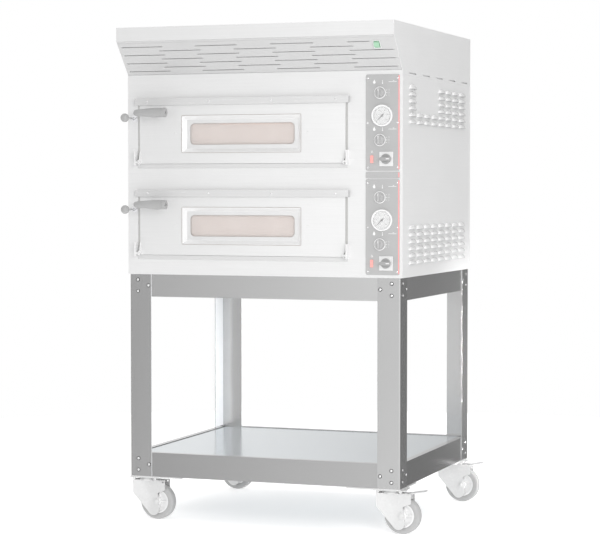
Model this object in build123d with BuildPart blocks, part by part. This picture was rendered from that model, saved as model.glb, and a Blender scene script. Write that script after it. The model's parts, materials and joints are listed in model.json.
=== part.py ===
from build123d import *
import os
from math import hypot

os.makedirs("parts", exist_ok=True)

# A two-deck pizza oven with a slotted extraction hood, on an open stand with four castors.
# Millimetres. Origin on the floor under the middle of the casing, +X right, +Y back, +Z up.

# ---- driving dimensions -------------------------------------------------------------
WIDTH, DEPTH = 1000, 850          # casing
CASTOR_H, STAND_H, OVEN_H = 155, 708, 692
HOOD_RISE, LIP_H, HOOD_OUT = 110, 48, 95
SHEET = 1.5                       # casing sheet
DECK_PITCH = 316                  # one door above the other
PANEL_PITCH = 348                 # one control panel above the other

HALF_W, HALF_D = WIDTH / 2, DEPTH / 2
FRONT, BACK = -HALF_D, HALF_D
Z_STAND = CASTOR_H
Z_OVEN = Z_STAND + STAND_H
Z_HOOD = Z_OVEN + OVEN_H
Z_LIP = Z_HOOD + HOOD_RISE
Z_TOP = Z_LIP + LIP_H
SKIRT = 17                        # the hood's cheeks come this far below the casing's top edge
Z_SKIRT = Z_HOOD - SKIRT

# stand
STAND_X, STAND_Y = 494, 425       # outer faces of the posts
POST_T, POST_FLANGE = 3, 80
RAIL_T, TOP_RAIL_H, LOW_RAIL_H = 2.5, 78, 84
RAIL_LIP, RAIL_SEAT = 22, 42      # narrow return and wide seat of a rail
CORNER_CUT = 45                   # side rails' flanges stop short of the front and back rails
PLATE_T, PLATE_SIDE = 4, 190      # corner plates under the stand
SHELF_T, SHELF_GAP = 2, 3

# castors
WHEEL_R, WHEEL_W, TRAIL = 62.5, 32, 40
SWIVEL_INSET = 50
AXLE_R, KINGPIN_R, PEDAL_PIN_R = 5, 6, 3
FIT = 0.05                        # running fit, on the radius

# doors
DOOR_X = -76.5                    # middle of the doors and chambers
DOOR_W, DOOR_H = 756, 202
DOOR_Z = {"upper": 1247, "lower": 1247 - DECK_PITCH}
DOOR_FRONT = FRONT - 2
SKIN_T = 2
HINGE_Y, HINGE_RISE, HINGE_R = FRONT - 15, 6, 4
WINDOW_W, WINDOW_H, WINDOW_BEVEL = 438, 128, 12
GLASS_W, GLASS_H, GLASS_CORNER = 383, 73, 15
WINDOW_RISE = 102                 # window's middle above the door's lower edge
OPEN_W = DOOR_W + 15              # opening in the front panel
LINTEL_H, LINTEL_OUT = 24, 12
SILL_H = 12
RETURN_BACK = FRONT + 40          # how far back the opening's edges are folded

# baking chambers
CHAMBER_W, CHAMBER_H = 700, 174
CHAMBER_BACK = 332
CHAMBER_T = 2
STONE_T, STONE_RISE = 16, 11
ELEMENT_R = 5

# handles and vent pulls
GRIP_X0, GRIP_X1, GRIP_OUT, GRIP_RISE = -450, -329, 62, 175
GRIP_R0, GRIP_R1 = 11, 16.5
STEM_X, STEM_R = -402, 5
PULL_X, PULL_OUT, BALL_R, PULL_R = -475, 80, 15, 4
PULL_RISE = 158

# controls
PANEL_X, PANEL_W, PANEL_H, PANEL_T = 432, 118, 320, 2
PANEL_Z = {"upper": 1381, "lower": 1381 - PANEL_PITCH}
PANEL_FRONT = FRONT - PANEL_T
KNOB_X = 422
KNOB_RISE = {"top": 99, "bottom": -58}
KNOB_R, KNOB_SHAFT_R = 17, 3
GAUGE_X, GAUGE_RISE, GAUGE_R = 431, 23, 36
SWITCH_X, SWITCH_RISE, SWITCH_SIDE = 445, -121, 48
LAMP_X, LAMP_RISE, LAMP_W, LAMP_H = 395, -122, 9, 25
SCREW_X, SCREW_RISES = 52, (147, -1, -149)
BADGE_Z, BADGE_H = 1206.5, 21

# hood slope: a plane that rises from the casing's top front edge to the lip
SLOPE_LEN = hypot(HOOD_OUT, HOOD_RISE)
SLOPE = Plane(origin=(0, FRONT, Z_HOOD), x_dir=(1, 0, 0), z_dir=(0, -HOOD_RISE, -HOOD_OUT))
SLOT_L, SLOT_H, SLOT_PITCH, SLOT_ROW0, SLOT_ROW = 152, 3, 274, 15, 17.4
ROCKER_X, ROCKER_S, ROCKER_W, ROCKER_L = 434, 107.5, 18, 25

# back
FLUE_Y, FLUE_R, FLUE_H, FLUE_T = 300, 74.5, 45, 1.5
GLAND_X, GLAND_R, GLAND_BORE = 420, 12.5, 8
GLAND_Z = {"upper": 1290, "lower": 960}

HINGE_Z = {deck: z + HINGE_RISE for deck, z in DOOR_Z.items()}
DECKS = ("upper", "lower")
CORNERS = {"front_left": (-1, -1), "front_right": (1, -1), "back_left": (-1, 1), "back_right": (1, 1)}


def block(lo, hi, mode=Mode.ADD):
    """A box between two corners."""
    size = [b - a for a, b in zip(lo, hi)]
    middle = tuple((a + b) / 2 for a, b in zip(lo, hi))
    with Locations(middle):
        Box(*size, mode=mode)


def rod_y(x, z, y0, y1, radius, mode=Mode.ADD):
    """A round bar along Y."""
    with Locations((x, (y0 + y1) / 2, z)):
        Cylinder(radius, abs(y1 - y0), rotation=(90, 0, 0), mode=mode)


def rod_x(y, z, x0, x1, radius, mode=Mode.ADD):
    """A round bar along X."""
    with Locations(((x0 + x1) / 2, y, z)):
        Cylinder(radius, abs(x1 - x0), rotation=(0, 90, 0), mode=mode)


def rod_z(x, y, z0, z1, radius, mode=Mode.ADD):
    """A round bar along Z."""
    with Locations((x, y, (z0 + z1) / 2)):
        Cylinder(radius, abs(z1 - z0), mode=mode)


def save(builder, name):
    """Label a finished piece and write it."""
    builder.part.label = name
    export_step(builder.part, f"parts/{name}.step")


def front_plane(y):
    """A drawing plane facing forward at the given depth, local x along +X, local y along +Z."""
    return Plane.XZ.offset(-y)


# ---- fastener places, shared by the holes and the fasteners --------------------------
STAND_SCREW_R, STAND_SCREW_HOLE = 2.5, 2.6
stand_screw_steps = [(30, 19), (70, 39), (30, 59)]      # in from the corner edge, from the rail's outer edge
stand_screw_levels = [Z_OVEN - step for _, step in stand_screw_steps]
stand_screw_levels += [Z_STAND + step + 3 for _, step in stand_screw_steps]
stand_screw_insets = [inset for inset, _ in stand_screw_steps] * 2


def stand_screws(radius, depth, mode=Mode.ADD, out=0.0):
    """Shanks or holes through the post flanges and rails, at every corner and both faces."""
    for sx, sy in CORNERS.values():
        for inset, z in zip(stand_screw_insets, stand_screw_levels):
            rod_y(sx * (STAND_X - inset), z, sy * (STAND_Y + out), sy * (STAND_Y - depth), radius, mode)
            rod_x(sy * (STAND_Y - inset), z, sx * (STAND_X + out), sx * (STAND_X - depth), radius, mode)


panel_screw_places = [(PANEL_X + sx * SCREW_X, PANEL_Z[deck] + rise)
                      for deck in DECKS for rise in SCREW_RISES for sx in (-1, 1)]
lintel_screw_places = [(DOOR_X + step * 230, DOOR_Z[deck] + DOOR_H + LINTEL_H / 2)
                       for deck in DECKS for step in (-1.5, -0.5, 0.5, 1.5)]
bolt_places = [(sx * (STAND_X + 6 - SWIVEL_INSET) + dx, sy * (STAND_Y - SWIVEL_INSET) + dy)
               for sx, sy in CORNERS.values() for dx in (-40, 40) for dy in (-30, 30)]
BOLT_R, BOLT_HOLE = 4, 4.1


# ======================================================================================
# Stand
# ======================================================================================
with BuildPart() as stand_posts:
    for sx, sy in CORNERS.values():
        block((min(sx * STAND_X, sx * (STAND_X - POST_T)), min(sy * STAND_Y, sy * (STAND_Y - POST_FLANGE)), Z_STAND),
              (max(sx * STAND_X, sx * (STAND_X - POST_T)), max(sy * STAND_Y, sy * (STAND_Y - POST_FLANGE)), Z_OVEN))
        block((min(sx * STAND_X, sx * (STAND_X - POST_FLANGE)), min(sy * STAND_Y, sy * (STAND_Y - POST_T)), Z_STAND),
              (max(sx * STAND_X, sx * (STAND_X - POST_FLANGE)), max(sy * STAND_Y, sy * (STAND_Y - POST_T)), Z_OVEN))
    stand_screws(STAND_SCREW_HOLE, 10, Mode.SUBTRACT, out=2)
save(stand_posts, "stand_posts")

RAIL_X, RAIL_Y = STAND_X - POST_T, STAND_Y - POST_T     # outer faces of the rails


def rail_set(z0, height, low_flange, high_flange):
    """Four folded rails: full-height faces, and flanges turned inwards at the bottom and the top."""
    z1 = z0 + height
    end_x = RAIL_X - RAIL_T - 0.5
    for sy in (-1, 1):
        for depth, za, zb in ((RAIL_T, z0, z1), (low_flange, z0, z0 + RAIL_T), (high_flange, z1 - RAIL_T, z1)):
            ya, yb = sorted((sy * RAIL_Y, sy * (RAIL_Y - depth)))
            block((-end_x, ya, za), (end_x, yb, zb))
    for sx in (-1, 1):
        reach = RAIL_Y - RAIL_T
        for depth, half, za, zb in ((RAIL_T, reach, z0, z1), (low_flange, reach - CORNER_CUT, z0, z0 + RAIL_T),
                                    (high_flange, reach - CORNER_CUT, z1 - RAIL_T, z1)):
            xa, xb = sorted((sx * RAIL_X, sx * (RAIL_X - depth)))
            block((xa, -half, za), (xb, half, zb))


with BuildPart() as top_rails:
    rail_set(Z_OVEN - TOP_RAIL_H, TOP_RAIL_H, RAIL_LIP, RAIL_SEAT)
    stand_screws(STAND_SCREW_HOLE, 10, Mode.SUBTRACT)
save(top_rails, "top_rails")

with BuildPart() as bottom_rails:
    rail_set(Z_STAND, LOW_RAIL_H, RAIL_SEAT, RAIL_LIP)
    stand_screws(STAND_SCREW_HOLE, 10, Mode.SUBTRACT)
save(bottom_rails, "bottom_rails")

# a shallow tray, upside down, standing on the rails' wide lower flanges
SHELF_X, SHELF_Y = RAIL_X - RAIL_LIP - SHELF_GAP, RAIL_Y - RAIL_LIP - SHELF_GAP
SHELF_TOP = Z_STAND + LOW_RAIL_H - 2
with BuildPart() as shelf:
    block((-SHELF_X, -SHELF_Y, Z_STAND + RAIL_T), (SHELF_X, SHELF_Y, SHELF_TOP))
    block((-SHELF_X + SHELF_T, -SHELF_Y + SHELF_T, Z_STAND),
          (SHELF_X - SHELF_T, SHELF_Y - SHELF_T, SHELF_TOP - SHELF_T), Mode.SUBTRACT)
save(shelf, "shelf")

with BuildPart() as corner_plates:
    for sx, sy in CORNERS.values():
        xa, xb = sorted((sx * STAND_X, sx * (STAND_X - PLATE_SIDE)))
        ya, yb = sorted((sy * STAND_Y, sy * (STAND_Y - PLATE_SIDE)))
        block((xa, ya, Z_STAND - PLATE_T), (xb, yb, Z_STAND))
    for x, y in bolt_places:
        rod_z(x, y, Z_STAND - PLATE_T - 1, Z_STAND + 1, BOLT_HOLE, Mode.SUBTRACT)
save(corner_plates, "corner_plates")

# ======================================================================================
# Castors: head plate and kingpin on the stand, then fork, wheel and brake pedal
# ======================================================================================
HEAD_TOP = Z_STAND - PLATE_T
HEAD_T, RACE_R, RACE_Z = 3, 27, 142
CROWN_Z0, CROWN_T, CUP_R = 132, 3, 29
LEG_Y, LEG_T = 20, 3
PEDAL_X, PEDAL_Z, PEDAL_W = 66, 132, 36
APRON, APRON_Z, CROWN_TOP = 46, 93, 138       # front edge of a leg: its reach from the swivel axis, low and high end
HORN_X0, HORN_X1, HORN_Z0, HORN_Z1 = 40, 74, 90, 104       # rear horn of a leg, which carries the pedal's pin
FOOT_X, FOOT_Z, FOOT_R = 30, 35.5, 21                      # rounded foot of a leg, guarding the axle
RIM_R, RIM_Y, HUB_R, HUB_Y, WEB = 48, 14, 16, 19, 3      # rim, its half width, hub, its half width, half web
RIM_GAP = 0.1                     # between the rim and the tyre pressed on it
swivels = {name: (sx * (STAND_X + 6 - SWIVEL_INSET), sy * (STAND_Y - SWIVEL_INSET))
           for name, (sx, sy) in CORNERS.items()}

with BuildPart() as castor_heads:
    for x, y in swivels.values():
        block((x - 52, y - 42, HEAD_TOP - HEAD_T), (x + 52, y + 42, HEAD_TOP))
        rod_z(x, y, RACE_Z, HEAD_TOP - HEAD_T, RACE_R)
        rod_z(x, y, CROWN_Z0 - 4, RACE_Z, KINGPIN_R)
        rod_z(x, y, CROWN_Z0 - 5, CROWN_Z0 - 0.5, KINGPIN_R + 4)
    for x, y in bolt_places:
        rod_z(x, y, HEAD_TOP - HEAD_T - 1, HEAD_TOP + 1, BOLT_HOLE, Mode.SUBTRACT)
save(castor_heads, "castor_heads")

for name, (x, y) in swivels.items():
    axle_x = x + TRAIL
    with BuildPart() as fork:
        with BuildSketch(front_plane(y + LEG_Y)):
            with Locations((x + FOOT_X, FOOT_Z)):
                Circle(FOOT_R)
            with BuildLine():
                Polyline((x - APRON, APRON_Z), (x - APRON, CROWN_TOP), (x + APRON - 4, CROWN_TOP),
                         (x + APRON - 4, CROWN_TOP - 14), close=True)
            make_face()
            make_hull()
            with BuildLine():
                Polyline((x + HORN_X0, HORN_Z0), (x + HORN_X1, HORN_Z1), (x + HORN_X1, CROWN_TOP),
                         (x + HORN_X0, CROWN_TOP), close=True)
            make_face()
        extrude(amount=-LEG_T)
        mirror(about=Plane.XZ.offset(-y))
        block((x - 28, y - LEG_Y, CROWN_Z0), (x + 54, y + LEG_Y, CROWN_Z0 + CROWN_T))
        rod_z(x, y, CROWN_Z0 + CROWN_T, RACE_Z - 0.4, CUP_R)
        rod_z(x, y, CROWN_Z0 - 1, RACE_Z, KINGPIN_R + FIT, Mode.SUBTRACT)
        rod_y(x + PEDAL_X, PEDAL_Z, y - 30, y + 30, PEDAL_PIN_R + FIT, Mode.SUBTRACT)
        rod_y(axle_x, WHEEL_R, y - LEG_Y - LEG_T - 4, y + LEG_Y + LEG_T + 4, AXLE_R)
        for side in (-1, 1):
            rod_y(axle_x, WHEEL_R, y + side * (LEG_Y + LEG_T), y + side * (LEG_Y + LEG_T + 5), 10)
    save(fork, f"castor_fork_{name}")

    with BuildPart() as wheel:
        with BuildSketch(Plane.XY.offset(WHEEL_R)):
            with BuildLine():
                Polyline((axle_x + AXLE_R + FIT, y - HUB_Y), (axle_x + HUB_R, y - HUB_Y), (axle_x + HUB_R, y - WEB),
                         (axle_x + RIM_R - 6, y - WEB), (axle_x + RIM_R - 6, y - RIM_Y), (axle_x + RIM_R, y - RIM_Y),
                         (axle_x + RIM_R, y + RIM_Y), (axle_x + RIM_R - 6, y + RIM_Y), (axle_x + RIM_R - 6, y + WEB),
                         (axle_x + HUB_R, y + WEB), (axle_x + HUB_R, y + HUB_Y),
                         (axle_x + AXLE_R + FIT, y + HUB_Y), close=True)
            make_face()
            with Locations((axle_x + (RIM_R + RIM_GAP + WHEEL_R) / 2, y)):
                RectangleRounded(WHEEL_R - RIM_R - RIM_GAP, WHEEL_W, 5)
        revolve(axis=Axis((axle_x, y, WHEEL_R), (0, 1, 0)))
    save(wheel, f"castor_wheel_{name}")

    if name.endswith("right"):
        with BuildPart() as pedal:
            rod_y(x + PEDAL_X, PEDAL_Z, y - PEDAL_W / 2, y + PEDAL_W / 2, 5)
            rod_y(x + PEDAL_X, PEDAL_Z, y - LEG_Y - LEG_T - 3, y + LEG_Y + LEG_T + 3, PEDAL_PIN_R)
            with BuildSketch(front_plane(y - PEDAL_W / 2)):
                with BuildLine():
                    Polyline((x + PEDAL_X - 2, PEDAL_Z + 4), (x + 73, 141), (x + 120, 149), (x + 121, 145.5),
                             (x + 75, 137), (x + PEDAL_X + 4, PEDAL_Z - 3), close=True)
                make_face()
            extrude(amount=-PEDAL_W)
            block((x + 69, y - 12, 121), (x + 76, y + 12, 137))
        save(pedal, f"brake_pedal_{name}")

# ======================================================================================
# Casing
# ======================================================================================
OPEN_Z = {deck: (z - 3, z + DOOR_H + 4) for deck, z in DOOR_Z.items()}
open_x0, open_x1 = DOOR_X - OPEN_W / 2, DOOR_X + OPEN_W / 2
knob_places = {f"{end}_{deck}": (KNOB_X, PANEL_Z[deck] + KNOB_RISE[end]) for deck in DECKS for end in KNOB_RISE}
switch_places = {deck: (SWITCH_X, PANEL_Z[deck] + SWITCH_RISE) for deck in DECKS}
gauge_places = {deck: (GAUGE_X, PANEL_Z[deck] + GAUGE_RISE) for deck in DECKS}
pull_places = {deck: (PULL_X, DOOR_Z[deck] + PULL_RISE) for deck in DECKS}

with BuildPart() as front_panel:
    block((-HALF_W, FRONT, Z_OVEN), (HALF_W, FRONT + SHEET, Z_HOOD))
    for z0, z1 in OPEN_Z.values():
        block((open_x0 - SHEET, FRONT, z0 - SHEET), (open_x1 + SHEET, RETURN_BACK, z1 + SHEET))
        block((open_x0, FRONT - 1, z0), (open_x1, RETURN_BACK + 1, z1), Mode.SUBTRACT)
    for x, z in list(knob_places.values()) + list(switch_places.values()) + list(gauge_places.values()):
        rod_y(x, z, FRONT - 1, FRONT + 3, KNOB_SHAFT_R + 2, Mode.SUBTRACT)
    for x, z in pull_places.values():
        rod_y(x, z, FRONT - 1, FRONT + 3, PULL_R + FIT, Mode.SUBTRACT)
    for x, z in panel_screw_places + lintel_screw_places:
        rod_y(x, z, FRONT - 1, FRONT + 3, 1.6, Mode.SUBTRACT)
save(front_panel, "front_panel")

LOUVRE_L, LOUVRE_H, LOUVRE_PITCH, LOUVRE_COLUMNS, LOUVRE_ROWS = 75, 4, 88, 8, 6
LOUVRE_GROUPS = ((Z_OVEN + 46, 23.5), (Z_OVEN + 519.5, 23.2))    # lowest row's height, row spacing
PLAIN_ROWS, PLAIN_COLUMNS = (2, 3, 4, 5), (1, 2, 3)              # a plain patch on the right-hand side
for side, sign in (("left", -1), ("right", 1)):
    with BuildPart() as side_panel:
        xa, xb = sorted((sign * HALF_W, sign * (HALF_W - SHEET)))
        block((xa, FRONT + SHEET, Z_OVEN), (xb, BACK - SHEET, Z_SKIRT))
        places = []
        for group, (z0, pitch) in enumerate(LOUVRE_GROUPS):
            for row in range(LOUVRE_ROWS):
                for column in range(LOUVRE_COLUMNS):
                    if sign > 0 and group and row in PLAIN_ROWS and column in PLAIN_COLUMNS:
                        continue
                    places.append(((xa + xb) / 2, (column - 3.5) * LOUVRE_PITCH, z0 + row * pitch))
        with Locations(*places):
            Box(SHEET * 3, LOUVRE_L, LOUVRE_H, mode=Mode.SUBTRACT)
    save(side_panel, f"side_panel_{side}")

with BuildPart() as back_panel:
    block((-HALF_W, BACK - SHEET, Z_OVEN), (HALF_W, BACK, Z_SKIRT))
    for z in GLAND_Z.values():
        rod_y(GLAND_X, z, BACK - 3, BACK + 1, GLAND_R + 0.1, Mode.SUBTRACT)
save(back_panel, "back_panel")

with BuildPart() as casing_decks:
    inner_x, inner_y = HALF_W - SHEET, HALF_D - SHEET
    block((-inner_x, -inner_y, Z_OVEN), (inner_x, inner_y, Z_OVEN + 2))
    block((-inner_x, -inner_y, Z_SKIRT - 4), (inner_x, inner_y, Z_SKIRT - 2))
save(casing_decks, "casing_decks")

with BuildPart() as door_lintels:
    for deck in DECKS:
        z0 = DOOR_Z[deck] + DOOR_H
        block((open_x0 - 6, FRONT - LINTEL_OUT, z0), (open_x1 + 6, FRONT, z0 + LINTEL_H))
        block((open_x0 - 7, FRONT - LINTEL_OUT + SHEET, z0 + SHEET),
              (open_x1 + 7, FRONT + 1, z0 + LINTEL_H - SHEET), Mode.SUBTRACT)
        sill_top = OPEN_Z[deck][0]
        block((open_x0, FRONT - 3, sill_top - SILL_H), (open_x1, FRONT, sill_top))
    for x, z in lintel_screw_places:
        rod_y(x, z, FRONT - LINTEL_OUT - 1, FRONT - LINTEL_OUT + 3, 1.6, Mode.SUBTRACT)
save(door_lintels, "door_lintels")

# ======================================================================================
# Baking chambers and what is inside them
# ======================================================================================
cx0, cx1 = DOOR_X - CHAMBER_W / 2, DOOR_X + CHAMBER_W / 2
floors = {deck: z - 5 for deck, z in DOOR_Z.items()}
LEDGE = 10


def element_bars(x0, x1, radius, mode=Mode.ADD):
    """Four straight bars below the stone and four under the ceiling, in each chamber."""
    for floor in floors.values():
        for z in (floor + 8, floor + CHAMBER_H - 10):
            for step in range(4):
                rod_x(RETURN_BACK + 110 + step * 165, z, x0, x1, radius, mode)


with BuildPart() as baking_chambers:
    for deck in DECKS:
        z0, z1 = floors[deck], floors[deck] + CHAMBER_H
        flange_z0, flange_z1 = OPEN_Z[deck][0] - 6, OPEN_Z[deck][1] + 6
        block((cx0 - CHAMBER_T, RETURN_BACK, z0 - CHAMBER_T), (cx1 + CHAMBER_T, CHAMBER_BACK, z1 + CHAMBER_T))
        block((open_x0 - 6, RETURN_BACK, flange_z0), (open_x1 + 6, RETURN_BACK + CHAMBER_T, flange_z1))
        block((cx0, RETURN_BACK - 1, z0), (cx1, CHAMBER_BACK - CHAMBER_T, z1), Mode.SUBTRACT)
        for x in (cx0, cx1 - LEDGE):
            block((x, RETURN_BACK + 10, z0 + STONE_RISE + ELEMENT_R - LEDGE),
                  (x + LEDGE, CHAMBER_BACK - 10, z0 + STONE_RISE + ELEMENT_R))
    element_bars(cx1 - LEDGE - 1, cx1 + CHAMBER_T + 1, ELEMENT_R + 0.2, Mode.SUBTRACT)
save(baking_chambers, "baking_chambers")

with BuildPart() as baking_stones:
    for deck in DECKS:
        z0 = floors[deck] + STONE_RISE + ELEMENT_R
        block((cx0 + 3, RETURN_BACK + 12, z0), (cx1 - 3, CHAMBER_BACK - 12, z0 + STONE_T))
save(baking_stones, "baking_stones")

with BuildPart() as heating_elements:
    element_bars(cx0 + LEDGE + 2, cx1 + 30, ELEMENT_R)
save(heating_elements, "heating_elements")

with BuildPart() as insulation:
    for deck in DECKS:
        z0, z1 = floors[deck], floors[deck] + CHAMBER_H
        block((cx0 - 34, RETURN_BACK + 4, z0 - 34), (cx1 + 34, CHAMBER_BACK + 40, z1 + 34))
        block((cx0 - CHAMBER_T, RETURN_BACK, z0 - CHAMBER_T),
              (cx1 + CHAMBER_T, CHAMBER_BACK, z1 + CHAMBER_T), Mode.SUBTRACT)
    element_bars(cx1, cx1 + 40, ELEMENT_R + 0.2, Mode.SUBTRACT)
save(insulation, "insulation")

# ======================================================================================
# Doors: skin with hinge ears, inner liner, panes, bevelled window frame, handle
# ======================================================================================
for deck in DECKS:
    z0 = DOOR_Z[deck]
    hinge_z, window_z = HINGE_Z[deck], z0 + WINDOW_RISE
    door_x0, door_x1 = DOOR_X - DOOR_W / 2, DOOR_X + DOOR_W / 2
    skin_back = DOOR_FRONT + SKIN_T

    with BuildPart() as door_skin:
        block((door_x0, DOOR_FRONT, z0), (door_x1, skin_back, z0 + DOOR_H))
        block((DOOR_X - WINDOW_W / 2, DOOR_FRONT - 1, window_z - WINDOW_H / 2),
              (DOOR_X + WINDOW_W / 2, skin_back + 1, window_z + WINDOW_H / 2), Mode.SUBTRACT)
        for x in (door_x0, door_x1 - 3):
            with BuildSketch(Plane.YZ.offset(x)):
                with Locations((HINGE_Y, hinge_z)):
                    Circle(9)
                with Locations((DOOR_FRONT - 1, hinge_z + 18)):
                    Rectangle(2, 44)
                make_hull()
            extrude(amount=3)
        rod_x(HINGE_Y, hinge_z, door_x0 - 1, door_x1 + 1, HINGE_R + FIT, Mode.SUBTRACT)
        rod_y(STEM_X, z0 + GRIP_RISE, DOOR_FRONT - 1, skin_back + 1, STEM_R - 1, Mode.SUBTRACT)
    save(door_skin, f"door_skin_{deck}")

    with BuildPart() as door_window_frame:
        block((DOOR_X - WINDOW_W / 2, DOOR_FRONT, window_z - WINDOW_H / 2),
              (DOOR_X + WINDOW_W / 2, DOOR_FRONT + WINDOW_BEVEL + 2, window_z + WINDOW_H / 2))
        with BuildSketch(front_plane(DOOR_FRONT)):
            with Locations((DOOR_X, window_z)):
                Rectangle(WINDOW_W - 4, WINDOW_H - 4)
        extrude(amount=-WINDOW_BEVEL, taper=45, mode=Mode.SUBTRACT)
        with BuildSketch(front_plane(DOOR_FRONT)):
            with Locations((DOOR_X, window_z)):
                RectangleRounded(GLASS_W, GLASS_H, GLASS_CORNER)
        extrude(amount=-WINDOW_BEVEL - 3, mode=Mode.SUBTRACT)
    save(door_window_frame, f"door_window_frame_{deck}")

    liner_back = DOOR_FRONT + 39
    pane_y = DOOR_FRONT + WINDOW_BEVEL + 2
    with BuildPart() as door_liner:
        block((DOOR_X - 368, skin_back, z0 + 5), (DOOR_X + 368, liner_back, z0 + 188))
        block((DOOR_X - 366.5, skin_back - 1, z0 + 6.5), (DOOR_X + 366.5, liner_back - 1.5, z0 + 186.5), Mode.SUBTRACT)
        block((DOOR_X - 212, liner_back - 12, window_z - 57), (DOOR_X + 212, liner_back, window_z + 57))
        block((DOOR_X - 203, liner_back - 6, window_z - 47), (DOOR_X + 203, liner_back + 1, window_z + 47), Mode.SUBTRACT)
        block((DOOR_X - 192, liner_back - 13, window_z - 37), (DOOR_X + 192, liner_back + 1, window_z + 37), Mode.SUBTRACT)
    save(door_liner, f"door_liner_{deck}")

    with BuildPart() as door_glass:
        block((DOOR_X - 203, pane_y, window_z - 47), (DOOR_X + 203, pane_y + 4, window_z + 47))
        block((DOOR_X - 203, liner_back - 6, window_z - 47), (DOOR_X + 203, liner_back - 2, window_z + 47))
    save(door_glass, f"door_glass_{deck}")

    grip_y, grip_z = DOOR_FRONT - GRIP_OUT + 2, z0 + GRIP_RISE
    with BuildPart() as door_handle_stem:
        rod_y(STEM_X, grip_z, grip_y, DOOR_FRONT, STEM_R)
        rod_y(STEM_X, grip_z, DOOR_FRONT - 4, DOOR_FRONT, 12)
        rod_y(STEM_X, grip_z, DOOR_FRONT, skin_back, STEM_R - 1)
        rod_y(STEM_X, grip_z, skin_back, skin_back + 5, 8)
    save(door_handle_stem, f"door_handle_stem_{deck}")

    with BuildPart() as door_handle_grip:
        with BuildSketch(Plane(origin=(0, grip_y, grip_z), x_dir=(1, 0, 0), z_dir=(0, -1, 0))):
            with BuildLine():
                Polyline((GRIP_X0, 0), (GRIP_X1, 0), (GRIP_X1, GRIP_R1 - 1), (GRIP_X1 - 1, GRIP_R1),
                         (GRIP_X1 - 10, GRIP_R1), (GRIP_X1 - 11, GRIP_R1 - 1), (GRIP_X1 - 14, GRIP_R1 - 1),
                         (GRIP_X1 - 15, GRIP_R1), (GRIP_X1 - 45, GRIP_R1 - 0.5), (GRIP_X0, GRIP_R0),
                         (GRIP_X0, 0))
            make_face()
        revolve(axis=Axis((0, grip_y, grip_z), (1, 0, 0)))
        fillet(door_handle_grip.edges().filter_by(GeomType.CIRCLE).sort_by(Axis.X)[0], GRIP_R0 - 3)
        rod_y(STEM_X, grip_z, grip_y, DOOR_FRONT, STEM_R, Mode.SUBTRACT)
    save(door_handle_grip, f"door_handle_grip_{deck}")

with BuildPart() as hinge_brackets:
    for deck in DECKS:
        hinge_z = HINGE_Z[deck]
        for sign in (-1, 1):
            edge = DOOR_X + sign * (OPEN_W / 2 + 0.5)
            xa, xb = sorted((edge, edge + sign * 3))
            block((xa, FRONT - 26, hinge_z - 12), (xb, FRONT, hinge_z + 38))
            pin_end = DOOR_X + sign * (DOOR_W / 2 - 4)
            rod_x(HINGE_Y, hinge_z, min(edge, pin_end), max(edge, pin_end), HINGE_R)
save(hinge_brackets, "hinge_brackets")

# vent pulls: a ball on a rod that slides through the front panel
for deck, (x, z) in pull_places.items():
    with BuildPart() as vent_pull:
        rod_y(x, z, FRONT - PULL_OUT, FRONT + 75, PULL_R)
        with Locations((x, FRONT - PULL_OUT, z)):
            Sphere(BALL_R)
    save(vent_pull, f"vent_pull_{deck}")

# ======================================================================================
# Control panels
# ======================================================================================
with BuildPart() as control_panels:
    for deck in DECKS:
        with BuildSketch(front_plane(FRONT)):
            with Locations((PANEL_X, PANEL_Z[deck])):
                RectangleRounded(PANEL_W, PANEL_H, 6)
        extrude(amount=PANEL_T)
    with BuildSketch(front_plane(FRONT)):
        with Locations((PANEL_X, BADGE_Z)):
            RectangleRounded(PANEL_W, BADGE_H, 2)
    extrude(amount=PANEL_T)
    for x, z in list(knob_places.values()) + list(switch_places.values()):
        rod_y(x, z, PANEL_FRONT - 1, FRONT + 1, KNOB_SHAFT_R + FIT, Mode.SUBTRACT)
    for x, z in gauge_places.values():
        rod_y(x, z, PANEL_FRONT - 1, FRONT + 1, 5, Mode.SUBTRACT)
    for x, z in panel_screw_places:
        rod_y(x, z, PANEL_FRONT - 1, FRONT + 1, 1.6, Mode.SUBTRACT)
save(control_panels, "control_panels")

for place, (x, z) in knob_places.items():
    with BuildPart() as knob:
        rod_y(x, z, PANEL_FRONT - 13, PANEL_FRONT - 0.6, KNOB_R)
        block((x - 5, PANEL_FRONT - 21, z - KNOB_R + 2), (x + 5, PANEL_FRONT - 12, z + KNOB_R - 1))
        rod_y(x, z, PANEL_FRONT - 1, FRONT + 12, KNOB_SHAFT_R)
    save(knob, f"thermostat_knob_{place}")

with BuildPart() as switch_plates:
    for x, z in switch_places.values():
        block((x - SWITCH_SIDE / 2, PANEL_FRONT - 3, z - SWITCH_SIDE / 2),
              (x + SWITCH_SIDE / 2, PANEL_FRONT, z + SWITCH_SIDE / 2))
        rod_y(x, z, PANEL_FRONT - 4, PANEL_FRONT + 1, KNOB_SHAFT_R + FIT, Mode.SUBTRACT)
    with BuildSketch(SLOPE):
        with Locations((ROCKER_X, ROCKER_S)):
            Rectangle(ROCKER_W + 8, ROCKER_L + 8)
            Rectangle(ROCKER_W + 2, ROCKER_L + 3, mode=Mode.SUBTRACT)
    extrude(amount=2)
save(switch_plates, "switch_plates")

for deck, (x, z) in switch_places.items():
    with BuildPart() as switch_knob:
        rod_y(x, z, PANEL_FRONT - 9, PANEL_FRONT - 3.6, 17)
        with BuildSketch(front_plane(PANEL_FRONT - 8)):
            with Locations((x, z)):
                SlotOverall(38, 13)
        extrude(amount=14)
        rod_y(x, z, PANEL_FRONT - 4, FRONT + 12, KNOB_SHAFT_R)
    save(switch_knob, f"switch_knob_{deck}")

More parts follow.
